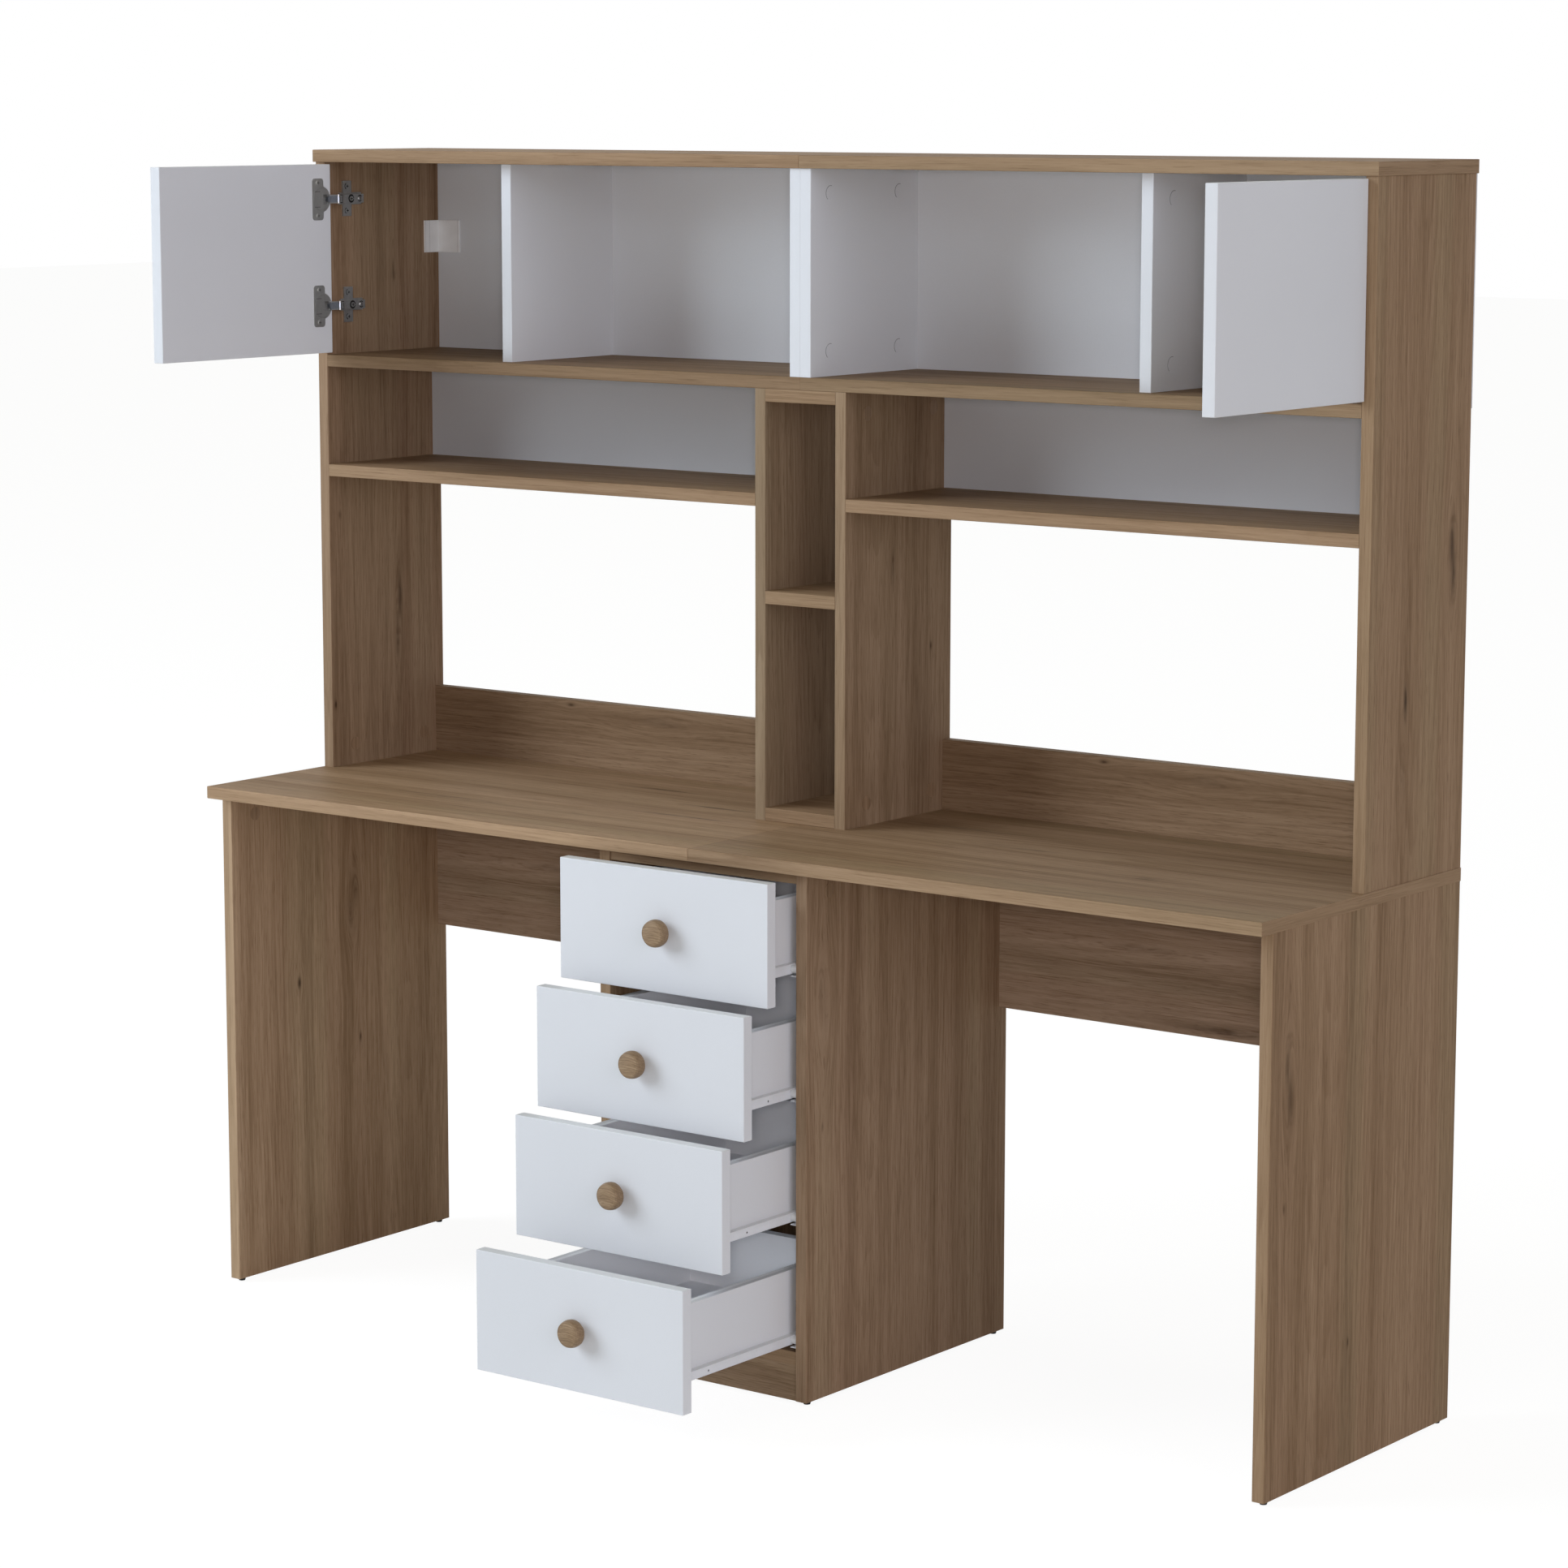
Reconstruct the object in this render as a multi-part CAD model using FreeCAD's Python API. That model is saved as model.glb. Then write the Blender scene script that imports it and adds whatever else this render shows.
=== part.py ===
import FreeCAD, Part
import os
from math import sqrt

Vector = FreeCAD.Vector

# A two-seat student desk with a drawer pedestal in the middle and a hutch on top, in millimetres.
# +X is the sitter's right, +Y the back, +Z up. The doors stand open and the drawers are pulled out part of
# the way. The origin is on the floor, under the middle of the whole desk as it stands so.

# Board stock
board = 18.0
edge_round = 1.0
seam_round = 0.4
thin_back = 2.5

# Desk
desk_width = 1800.0
desk_depth = 500.0
desk_height = 752.0
desk_side_overhang = 1.5
desk_front_overhang = 30.0
modesty_height = 256.0
pedestal_width = 357.0
plinth_height = 50.0
plinth_setback = 2.0

# Glide feet
foot_radius = 6.0
foot_tread_radius = 4.6
foot_height = 5.0
foot_end_distance = 14.0
spigot_radius = 2.5
spigot_length = 12.0
spigot_clearance = 0.05

# Hutch
hutch_depth = 250.0
hutch_height = 921.0
hutch_side_overhang = 2.5
hutch_front_overhang = 4.0
cupboard_height = 283.0
door_bay_width = 325.5
upper_shelf_clear = 145.0
splash_rail_height = 100.0
tower_width = 156.0
tower_lower_clear = 286.0

# Doors
door_lap = 28.5
door_gap_below = 3.3
door_gap_above = 3.1
door_gap_side = 2.0
door_gap_behind = 3.0
door_open_angle = 90.0
door_axis_depth = 2.5

# Cup hinges, measured from the inner face of the hutch side and from the hutch's front plane
hinge_floor_distance = 72.5
hinge_top_distance = 54.0
cup_edge_distance = 3.0
cup_bore_radius = 17.5
cup_bore_depth = 11.5
cup_clearance = 0.1
cup_wall = 0.8
cup_floor = 1.0
flange_rim = 1.5
flange_thickness = 1.0
flange_wing_width = 23.5
flange_wing_height = 61.0
flange_corner = 5.0
flange_screw_spacing = 48.0
knuckle_offset = 15.6
knuckle_inset = 5.9
knuckle_radius = 2.4
knuckle_pin_radius = 1.25
knuckle_pin_clearance = 0.05
knuckle_slot_radius = 3.2
arm_half_width = 6.4
arm_length = 60.0
arm_rise = 11.0
arm_neck_depth = 30.0
fork_half_gap = 4.0
link_length = 22.9
link_thickness = 2.4
link_half_width = 6.3
link_eye_half_width = 3.7
link_hook_length = 4.0
link_hook_thickness = 2.0
link_hook_half_width = 3.0
notch_clearance = 0.3
notch_depth = 2.5
plate_thickness = 2.5
plate_start = 28.0
plate_length = 48.0
plate_half_height = 8.75
plate_wing_depth = 45.0
plate_wing_width = 19.0
plate_wing_half_height = 26.0
plate_screw_spacing = 36.0
arm_end_screw_depth = 64.0
screw_head_radius = 3.5
screw_head_height = 1.2
screw_shank_radius = 1.7
screw_shank_length = 11.0
screw_clearance = 0.05

# Corner brackets inside the door bays
bracket_height = 48.0
bracket_drop = 90.5
bracket_side_leg = 33.0
bracket_back_leg = 44.0
bracket_thickness = 2.5

# Cam fittings that lock the boards together
cam_radius = 7.4
cam_depth = 10.0
cam_clearance = 0.1
cam_cap_radius = 10.0
cam_cap_thickness = 0.5
cam_divider_end_distance = 34.0
cam_wood_end_distance = 31.0
cam_front_distance = 50.0
cam_back_distance = 45.0
cam_rear_desk_distance = 63.0

# Drawers, from the top one down
top_drawer_pull = 66.0
second_drawer_pull = 117.0
third_drawer_pull = 163.5
bottom_drawer_pull = 246.5
front_gap = 3.4
front_top_gap = 4.6
front_side_margin = 0.5
front_plinth_lap = 3.8
front_closed_gap = 1.0
box_rear_space = 65.5
box_top_drop = 32.8
box_board = 15.0
box_bottom_thickness = 3.0
box_bottom_lift = 10.0
groove_depth = 6.0
groove_clearance = 0.1

# Roller runners
runner_space = 12.5
runner_end_gap = 3.0
runner_gauge = 1.2
runner_lift = 30.0
runner_height = 16.0
runner_lip = 12.0
runner_flange_gap = 2.5
runner_front_setback = 2.0
runner_hole_radius = 1.6
runner_hole_distance = 72.5
channel_lift = 27.0
channel_height = 16.0
channel_web_gap = 1.0
channel_top_gap = 2.8
roller_pin_radius = 2.0
roller_pin_clearance = 0.05
roller_side_gap = 0.4
roller_running_gap = 0.2
cabinet_roller_radius = 7.2
cabinet_roller_setback = 8.5
drawer_roller_end_distance = 12.0

# Turned knobs
knob_radius = 18.9
knob_depth = 22.5
knob_base_radius = 11.0
knob_neck_radius = 9.0
knob_neck_depth = 3.0
knob_shoulder_radius = 17.8
knob_shoulder_depth = 8.0
knob_bulge_depth = 14.0
knob_face_radius = 16.2
knob_rim_round = 1.2
knob_crown = 1.5
knob_screw_radius = 2.0
knob_screw_hole_radius = 2.05
knob_screw_bite = 12.0
knob_screw_head_radius = 4.0
knob_screw_head_height = 2.5

# Planes that several pieces share
drawer_pulls = (top_drawer_pull, second_drawer_pull, third_drawer_pull, bottom_drawer_pull)
drawer_count = len(drawer_pulls)
knob_reach = front_closed_gap + max(drawer_pulls) + board + knob_depth + knob_crown - desk_front_overhang
overall_depth = knob_reach + desk_depth + thin_back
desk_front = knob_reach - overall_depth / 2
desk_back = desk_front + desk_depth
desk_under = desk_height - board
leg_outer = desk_width / 2 - desk_side_overhang
leg_inner = leg_outer - board
leg_front = desk_front + desk_front_overhang
pedestal_outer = pedestal_width / 2
pedestal_inner = pedestal_outer - board
pedestal_floor = foot_height + plinth_height
hutch_front = desk_back - hutch_depth
hutch_back = desk_back
hutch_under = desk_height + hutch_height - board
cupboard_floor_top = hutch_under - cupboard_height
cupboard_floor_under = cupboard_floor_top - board
upper_shelf_top = cupboard_floor_under - upper_shelf_clear
tower_outer = tower_width / 2
tower_inner = tower_outer - board
tower_base_top = desk_height + board
end_divider_outer = leg_inner - door_bay_width
end_divider_front = hutch_front + board + door_gap_behind
door_width = door_bay_width + door_lap - door_gap_side
lowest_front = pedestal_floor - front_plinth_lap
fronts_height = desk_under - front_top_gap - lowest_front
front_height = (fronts_height - (drawer_count - 1) * front_gap) / drawer_count
front_pitch = front_height + front_gap
box_outer = pedestal_inner - runner_space
box_inner = box_outer - box_board
box_height = front_height - runner_lift - runner_gauge - box_top_drop
box_length = desk_back - thin_back - box_rear_space - leg_front + front_closed_gap
runner_length = box_length - runner_end_gap

UP = Vector(0, 0, 1)
RIGHT = Vector(1, 0, 0)
BACK = Vector(0, 1, 0)


def block(x_from, x_to, y_from, y_to, z_from, z_to):
    return Part.makeBox(x_to - x_from, y_to - y_from, z_to - z_from, Vector(x_from, y_from, z_from))


def rod(radius, start, direction, length):
    return Part.makeCylinder(radius, length, start, direction)


def prism(outline, z_from, z_to):
    corners = [Vector(x, y, z_from) for x, y in outline]
    face = Part.Face(Part.makePolygon(corners + corners[:1]))
    return face.extrude(UP * (z_to - z_from))


def mirrored(shape):
    return shape.mirror(Vector(0, 0, 0), RIGHT)


def both_sides(right_shapes):
    return right_shapes + [mirrored(shape) for shape in right_shapes]


def softened(shape, chosen, radius=edge_round):
    edges = [edge for edge in shape.Edges if chosen(edge.BoundBox)]
    return shape.makeFillet(radius, edges)


def flat_at(low, high, value):
    return abs(low - value) < 1e-6 and abs(high - value) < 1e-6


def all_edges(bounds):
    return True


def seam_edges(bounds):
    return flat_at(bounds.XMin, bounds.XMax, 0)


def save(node, solids):
    shape = solids[0] if len(solids) == 1 else Part.makeCompound(solids)
    shape.exportStep(os.path.join("parts", node + ".step"))


# Desk boards


def desk_top_right():
    half = desk_width / 2
    top = block(0, half, desk_front, desk_back, desk_under, desk_height)
    top = softened(top, lambda b: flat_at(b.YMin, b.YMax, desk_front) or flat_at(b.XMin, b.XMax, half))
    return softened(top, seam_edges, seam_round)


def leg_panel(outer, inner, front):
    panel = block(min(outer, inner), max(outer, inner), front, desk_back, foot_height, desk_under)
    return softened(panel, lambda b: flat_at(b.YMin, b.YMax, front) and b.ZLength > b.XLength)


def modesty_right():
    low = desk_under - modesty_height
    panel = block(pedestal_outer, leg_inner, desk_back - board, desk_back, low, desk_under)
    return softened(panel, lambda b: flat_at(b.ZMin, b.ZMax, low) and b.XLength > b.YLength)


def pedestal_board(z_from):
    front = leg_front + plinth_setback
    return block(-pedestal_inner, pedestal_inner, front, desk_back - thin_back, z_from, z_from + board)


def pedestal_plinth():
    front = leg_front + plinth_setback
    return block(-pedestal_inner, pedestal_inner, front, front + board, foot_height, pedestal_floor)


def pedestal_back():
    front = desk_back - thin_back
    return block(-pedestal_inner, pedestal_inner, front, desk_back, pedestal_floor, desk_under)


# Glide feet, each a tapered disc with a spigot pressed up into the board's lower edge

upright_centres = (leg_outer - board / 2, pedestal_outer - board / 2)
foot_rows = (leg_front + foot_end_distance, desk_back - foot_end_distance)


def glide_foot(x, y):
    disc = Part.makeCone(foot_tread_radius, foot_radius, foot_height, Vector(x, y, 0), UP)
    spigot = rod(spigot_radius, Vector(x, y, foot_height), UP, spigot_length)
    return disc.fuse(spigot)


def with_foot_bores(panel, x):
    for y in foot_rows:
        bore = rod(spigot_radius + spigot_clearance, Vector(x, y, foot_height), UP, spigot_length)
        panel = panel.cut(bore)
    return panel


# Cam fittings, each a housing in a blind bore with a flat cap over it


def cam_fitting(face_x, y, z, outward):
    housing = rod(cam_radius, Vector(face_x, y, z), RIGHT * -outward, cam_depth)
    cap = rod(cam_cap_radius, Vector(face_x, y, z), RIGHT * outward, cam_cap_thickness)
    return housing.fuse(cap)


def with_cam_bores(panel, places):
    bore_depth = cam_depth + cam_clearance
    for face_x, y, z, outward in places:
        mouth = Vector(face_x, y, z)
        panel = panel.cut(rod(cam_radius + cam_clearance, mouth, RIGHT * -outward, bore_depth))
    return panel


cam_back_row = hutch_back - cam_back_distance
divider_cam_rows = (hutch_under - cam_divider_end_distance, cupboard_floor_top + cam_divider_end_distance)
tower_cam_rows = (cupboard_floor_under - cam_wood_end_distance, desk_height + cam_wood_end_distance)
desk_cam_columns = (leg_front + cam_front_distance, desk_back - cam_rear_desk_distance)
desk_cam_row = desk_under - cam_wood_end_distance

centre_divider_cams = [(board, y, z, 1)
                       for y in (hutch_front + cam_back_distance, cam_back_row)
                       for z in divider_cam_rows]
end_divider_cams = [(end_divider_outer, y, z, 1)
                    for y in (end_divider_front + cam_front_distance, cam_back_row)
                    for z in divider_cam_rows]
hutch_cam_columns = (hutch_front + cam_front_distance, cam_back_row)
tower_cams = [(tower_outer, y, z, 1) for y in hutch_cam_columns for z in tower_cam_rows]
hutch_side_cams = [(leg_inner, y, desk_height + cam_wood_end_distance, -1) for y in hutch_cam_columns]
leg_cams = [(leg_inner, y, desk_cam_row, -1) for y in desk_cam_columns]
pedestal_cams = [(pedestal_outer, y, desk_cam_row, 1) for y in desk_cam_columns]


# Hutch boards


def hutch_side_right():
    side = block(leg_inner, leg_outer, hutch_front, hutch_back, desk_height, hutch_under)
    return softened(side, lambda b: flat_at(b.YMin, b.YMax, hutch_front) and b.ZLength > b.XLength)


def hutch_top_right():
    front = hutch_front - hutch_front_overhang
    end = leg_outer + hutch_side_overhang
    top = block(0, end, front, hutch_back + thin_back, hutch_under, hutch_under + board)
    top = softened(top, lambda b: flat_at(b.YMin, b.YMax, front) or flat_at(b.XMin, b.XMax, end))
    return softened(top, seam_edges, seam_round)


def hutch_shelf(x_from, x_to, top):
    shelf = block(x_from, x_to, hutch_front, hutch_back, top - board, top)
    return softened(shelf, lambda b: flat_at(b.YMin, b.YMax, hutch_front) and b.XLength > b.ZLength)


def cupboard_floor_right():
    return softened(hutch_shelf(0, leg_inner, cupboard_floor_top), seam_edges, seam_round)


def cupboard_back_right():
    return block(0, leg_outer, hutch_back, hutch_back + thin_back, cupboard_floor_under, hutch_under)


def centre_divider_right():
    divider = block(0, board, hutch_front, hutch_back, cupboard_floor_top, hutch_under)
    divider = softened(divider, lambda b: b.XMin > seam_round and flat_at(b.YMin, b.YMax, hutch_front))
    return softened(divider, lambda b: seam_edges(b) and flat_at(b.YMin, b.YMax, hutch_front), seam_round)


def end_divider_right():
    inner = end_divider_outer - board
    divider = block(inner, end_divider_outer, end_divider_front, hutch_back, cupboard_floor_top, hutch_under)
    return softened(divider, lambda b: flat_at(b.YMin, b.YMax, end_divider_front) and b.ZLength > b.XLength)


def shelf_back_right():
    front = hutch_back - board
    return block(tower_outer, leg_inner, front, hutch_back, upper_shelf_top, cupboard_floor_under)


def splash_rail_right():
    top = desk_height + splash_rail_height
    rail = block(tower_outer, leg_inner, hutch_back - board, hutch_back, desk_height, top)
    return softened(rail, lambda b: flat_at(b.ZMin, b.ZMax, top) and b.XLength > b.YLength)


def tower_side_right():
    side = block(tower_inner, tower_outer, hutch_front, hutch_back, desk_height, cupboard_floor_under)
    return softened(side, lambda b: flat_at(b.YMin, b.YMax, hutch_front) and b.ZLength > b.XLength)


def tower_boards():
    tops = (tower_base_top, tower_base_top + tower_lower_clear + board, cupboard_floor_under)
    return [hutch_shelf(-tower_inner, tower_inner, top) for top in tops]


def wall_bracket_right():
    z_to = hutch_under - bracket_drop
    z_from = z_to - bracket_height
    on_side = block(leg_inner - bracket_thickness, leg_inner,
                    hutch_back - bracket_side_leg, hutch_back, z_from, z_to)
    on_back = block(leg_inner - bracket_back_leg, leg_inner,
                    hutch_back - bracket_thickness, hutch_back, z_from, z_to)
    return on_side.fuse(on_back).removeSplitter()


# Doors and cup hinges, made for the left side with the door shut, then swung open

side_face = -leg_inner
door_bottom = cupboard_floor_top + door_gap_below
door_top = hutch_under - door_gap_above
door_hinge_edge = side_face + door_gap_side
door_inner_face = hutch_front + board
door_axis = Vector(side_face - door_axis_depth, hutch_front + door_axis_depth, 0)
cup_x = door_hinge_edge + cup_edge_distance + cup_bore_radius
hinge_heights = (cupboard_floor_top + hinge_floor_distance, hutch_under - hinge_top_distance)
knuckle_x = side_face + knuckle_offset
knuckle_y = door_inner_face - knuckle_inset
wing_end = cup_x + cup_bore_radius + flange_rim
wing_screw_x = wing_end - flange_wing_width / 2
plate_wing_y = hutch_front + plate_wing_depth


def swung_open(shape):
    turned = shape.copy()
    turned.rotate(door_axis, UP, -door_open_angle)
    return turned


def link_turned(shape):
    turned = shape.copy()
    turned.rotate(Vector(knuckle_x, knuckle_y, 0), UP, -door_open_angle)
    return turned


def screw(head_seat, direction):
    head = rod(screw_head_radius, head_seat, direction, screw_head_height)
    shank = rod(screw_shank_radius, head_seat, direction * -1, screw_shank_length)
    return head.fuse(shank)


def screw_bore(head_seat, direction):
    radius = screw_shank_radius + screw_clearance
    return rod(radius, head_seat, direction * -1, screw_shank_length + screw_clearance)


def flange_screw_seats(height):
    offsets = (-flange_screw_spacing / 2, flange_screw_spacing / 2)
    return [Vector(wing_screw_x, door_inner_face + flange_thickness, height + offset) for offset in offsets]


def plate_screw_seats(height):
    offsets = (-plate_screw_spacing / 2, plate_screw_spacing / 2)
    return [Vector(side_face + plate_thickness, plate_wing_y, height + offset) for offset in offsets]


def door_panel():
    free_edge = door_hinge_edge + door_width
    panel = block(door_hinge_edge, free_edge, hutch_front, door_inner_face, door_bottom, door_top)
    panel = softened(panel, all_edges)
    for height in hinge_heights:
        mouth = Vector(cup_x, door_inner_face, height)
        panel = panel.cut(rod(cup_bore_radius, mouth, BACK * -1, cup_bore_depth))
        for seat in flange_screw_seats(height):
            panel = panel.cut(screw_bore(seat, BACK))
    return panel


def hinge_cup(height):
    mouth = Vector(cup_x, door_inner_face, height)
    cup_radius = cup_bore_radius - cup_clearance
    cup_depth = cup_bore_depth - cup_clearance
    flange_top = door_inner_face + flange_thickness
    rim = rod(cup_bore_radius + flange_rim, mouth, BACK, flange_thickness)
    half = flange_wing_height / 2
    wings = block(wing_end - flange_wing_width, wing_end, door_inner_face, flange_top,
                  height - half, height + half)
    corners = [edge for edge in wings.Edges if edge.BoundBox.YLength > flange_thickness / 2]
    wings = wings.makeFillet(flange_corner, corners)
    cup = rod(cup_radius, mouth, BACK * -1, cup_depth)
    hollow_radius = cup_radius - cup_wall
    hollow_depth = flange_thickness + cup_depth - cup_floor
    hollow = rod(hollow_radius, Vector(cup_x, flange_top, height), BACK * -1, hollow_depth)
    notch_half = arm_half_width + notch_clearance
    notch = block(cup_x - 2 * cup_radius, cup_x - hollow_radius / 2,
                  door_inner_face - notch_depth, flange_top, height - notch_half, height + notch_half)
    shell = rim.fuse(wings).fuse(cup).cut(hollow).cut(notch)
    for seat in flange_screw_seats(height):
        shell = shell.cut(screw_bore(seat, BACK))
    return shell.removeSplitter()


def hinge_arm(height):
    x, y = side_face, hutch_front
    neck_y = y + arm_neck_depth
    arm_end = knuckle_y + arm_length
    outline = [(x + plate_thickness, arm_end), (x + plate_thickness, neck_y + knuckle_radius),
               (x + plate_thickness * 2, neck_y - knuckle_radius),
               (knuckle_x - knuckle_radius, knuckle_y + knuckle_radius * 2),
               (knuckle_x - knuckle_radius, knuckle_y), (knuckle_x + knuckle_radius, knuckle_y),
               (knuckle_x + knuckle_radius, knuckle_y + knuckle_radius * 3),
               (x + arm_rise, neck_y), (x + arm_rise, arm_end)]
    arm = prism(outline, height - arm_half_width, height + arm_half_width)
    foot = Vector(knuckle_x, knuckle_y, height - arm_half_width)
    arm = arm.fuse(rod(knuckle_radius, foot, UP, 2 * arm_half_width))
    slot_foot = Vector(knuckle_x, knuckle_y, height - fork_half_gap)
    arm = arm.cut(rod(knuckle_slot_radius, slot_foot, UP, 2 * fork_half_gap))
    arm = arm.cut(rod(knuckle_pin_radius + knuckle_pin_clearance, foot, UP, 2 * arm_half_width))
    plate = block(x, x + plate_thickness, y + plate_start, y + plate_start + plate_length,
                  height - plate_half_height, height + plate_half_height)
    wing_half = plate_wing_width / 2
    wings = block(x, x + plate_thickness, plate_wing_y - wing_half, plate_wing_y + wing_half,
                  height - plate_wing_half_height, height + plate_wing_half_height)
    arm = arm.fuse(plate).fuse(wings)
    for depth in (plate_wing_depth, arm_end_screw_depth):
        seat = Vector(x + arm_rise, y + depth, height)
        arm = arm.fuse(rod(screw_head_radius, seat, RIGHT, screw_head_height))
    for seat in plate_screw_seats(height):
        arm = arm.cut(screw_bore(seat, RIGHT))
    return arm.removeSplitter()


def hinge_link(height):
    x, y = knuckle_x, knuckle_y
    half = link_thickness / 2
    eye = rod(knuckle_radius, Vector(x, y, height - link_eye_half_width), UP, 2 * link_eye_half_width)
    neck = block(x, x + 2 * knuckle_radius, y - half, y + half,
                 height - link_eye_half_width, height + link_eye_half_width)
    bar = block(x + knuckle_slot_radius + link_thickness / 4, x + link_length, y - half, y + half,
                height - link_half_width, height + link_half_width)
    bar = bar.cut(block(x + link_length - link_hook_thickness, x + link_length, y - half, y + half,
                        height - link_half_width, height + link_half_width))
    hook = block(x + link_length - link_hook_thickness, x + link_length, y - link_hook_length, y + half,
                 height - link_hook_half_width, height + link_hook_half_width)
    pin = rod(knuckle_pin_radius, Vector(x, y, height - arm_half_width), UP, 2 * arm_half_width)
    return eye.fuse(neck).fuse(bar).fuse(hook).fuse(pin).removeSplitter()


def with_plate_bores(side):
    for height in hinge_heights:
        for seat in plate_screw_seats(height):
            side = side.cut(screw_bore(seat, RIGHT))
    return side


# Drawers and their runners

cabinet_roller_x = box_outer + runner_gauge + roller_side_gap
channel_web_x = pedestal_inner - runner_gauge
roller_width = channel_web_x - cabinet_roller_x - roller_side_gap
channel_floor = channel_lift + runner_gauge
channel_roof = channel_lift + channel_height - runner_gauge
drawer_roller_radius = (channel_roof - channel_floor) / 2 - roller_running_gap
drawer_roller_lift = (channel_roof + channel_floor) / 2
runner_flange_under = runner_lift + runner_height - runner_gauge
cabinet_roller_lift = runner_flange_under - cabinet_roller_radius - roller_running_gap
cabinet_roller_y = leg_front + runner_front_setback + cabinet_roller_setback


def drawer_front(back_y, z):
    half = pedestal_outer - front_side_margin
    front = softened(block(-half, half, back_y - board, back_y, z, z + front_height), all_edges)
    lift = runner_lift + runner_gauge + box_bottom_lift - groove_clearance
    groove_half = box_inner + groove_depth
    groove = block(-groove_half, groove_half, back_y - groove_depth, back_y,
                   z + lift, z + lift + box_bottom_thickness + 2 * groove_clearance)
    hole = rod(knob_screw_hole_radius, Vector(0, back_y - board, z + front_height / 2), BACK, board)
    return front.cut(groove).cut(hole)


def drawer_box(back_y, z):
    low = z + runner_lift + runner_gauge
    high = low + box_height
    bottom_low = low + box_bottom_lift
    bottom_high = bottom_low + box_bottom_thickness
    tongue = groove_depth - groove_clearance
    inner_end = back_y + box_length - box_board
    groove = block(-box_inner - groove_depth, box_inner + groove_depth, back_y, inner_end + groove_depth,
                   bottom_low - groove_clearance, bottom_high + groove_clearance)
    side = block(box_inner, box_outer, back_y, back_y + box_length, low, high).cut(groove)
    rear = block(-box_inner, box_inner, inner_end, back_y + box_length, low, high).cut(groove)
    bottom = block(-box_inner - tongue, box_inner + tongue, back_y - tongue, inner_end + tongue,
                   bottom_low, bottom_high)
    return both_sides([side]) + [rear, bottom]


def drawer_runner(back_y, z):
    y_to = back_y + runner_length
    low = z + runner_lift
    high = low + runner_height
    web_x = box_outer + runner_gauge
    web = block(box_outer, web_x, back_y, y_to, low, high)
    lip = block(box_outer - runner_lip, box_outer, back_y, y_to, low, low + runner_gauge)
    flange = block(web_x, pedestal_inner - runner_flange_gap, back_y, y_to, high - runner_gauge, high)
    axle_seat = Vector(web_x, back_y + runner_length - drawer_roller_end_distance, z + drawer_roller_lift)
    axle = rod(roller_pin_radius, axle_seat, RIGHT, roller_side_gap + roller_width)
    runner = web.fuse(lip).fuse(flange).fuse(axle)
    for hole_y in (back_y + runner_hole_distance, y_to - runner_hole_distance):
        hole_start = Vector(box_outer, hole_y, low + runner_height / 3)
        runner = runner.cut(rod(runner_hole_radius, hole_start, RIGHT, runner_gauge))
    return runner.removeSplitter()


def drawer_roller(back_y, z):
    y = back_y + runner_length - drawer_roller_end_distance
    start = Vector(cabinet_roller_x, y, z + drawer_roller_lift)
    wheel = rod(drawer_roller_radius, start, RIGHT, roller_width)
    return wheel.cut(rod(roller_pin_radius + roller_pin_clearance, start, RIGHT, roller_width))


def cabinet_runner(z):
    y_from = leg_front + runner_front_setback
    y_to = y_from + runner_length
    low = z + channel_lift
    high = low + channel_height
    web = block(channel_web_x, pedestal_inner, y_from, y_to, low, high)
    floor_x = box_outer + runner_gauge + channel_web_gap
    floor = block(floor_x, channel_web_x, y_from, y_to, low, low + runner_gauge)
    roof_from = y_from + 2 * cabinet_roller_setback + roller_side_gap
    roof = block(floor_x + channel_top_gap, channel_web_x, roof_from, y_to, high - runner_gauge, high)
    axle_seat = Vector(cabinet_roller_x, cabinet_roller_y, z + cabinet_roller_lift)
    axle = rod(roller_pin_radius, axle_seat, RIGHT, roller_width + roller_side_gap)
    return web.fuse(floor).fuse(roof).fuse(axle).removeSplitter()


def cabinet_roller(z):
    start = Vector(cabinet_roller_x, cabinet_roller_y, z + cabinet_roller_lift)
    wheel = rod(cabinet_roller_radius, start, RIGHT, roller_width)
    return wheel.cut(rod(roller_pin_radius + roller_pin_clearance, start, RIGHT, roller_width))


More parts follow.
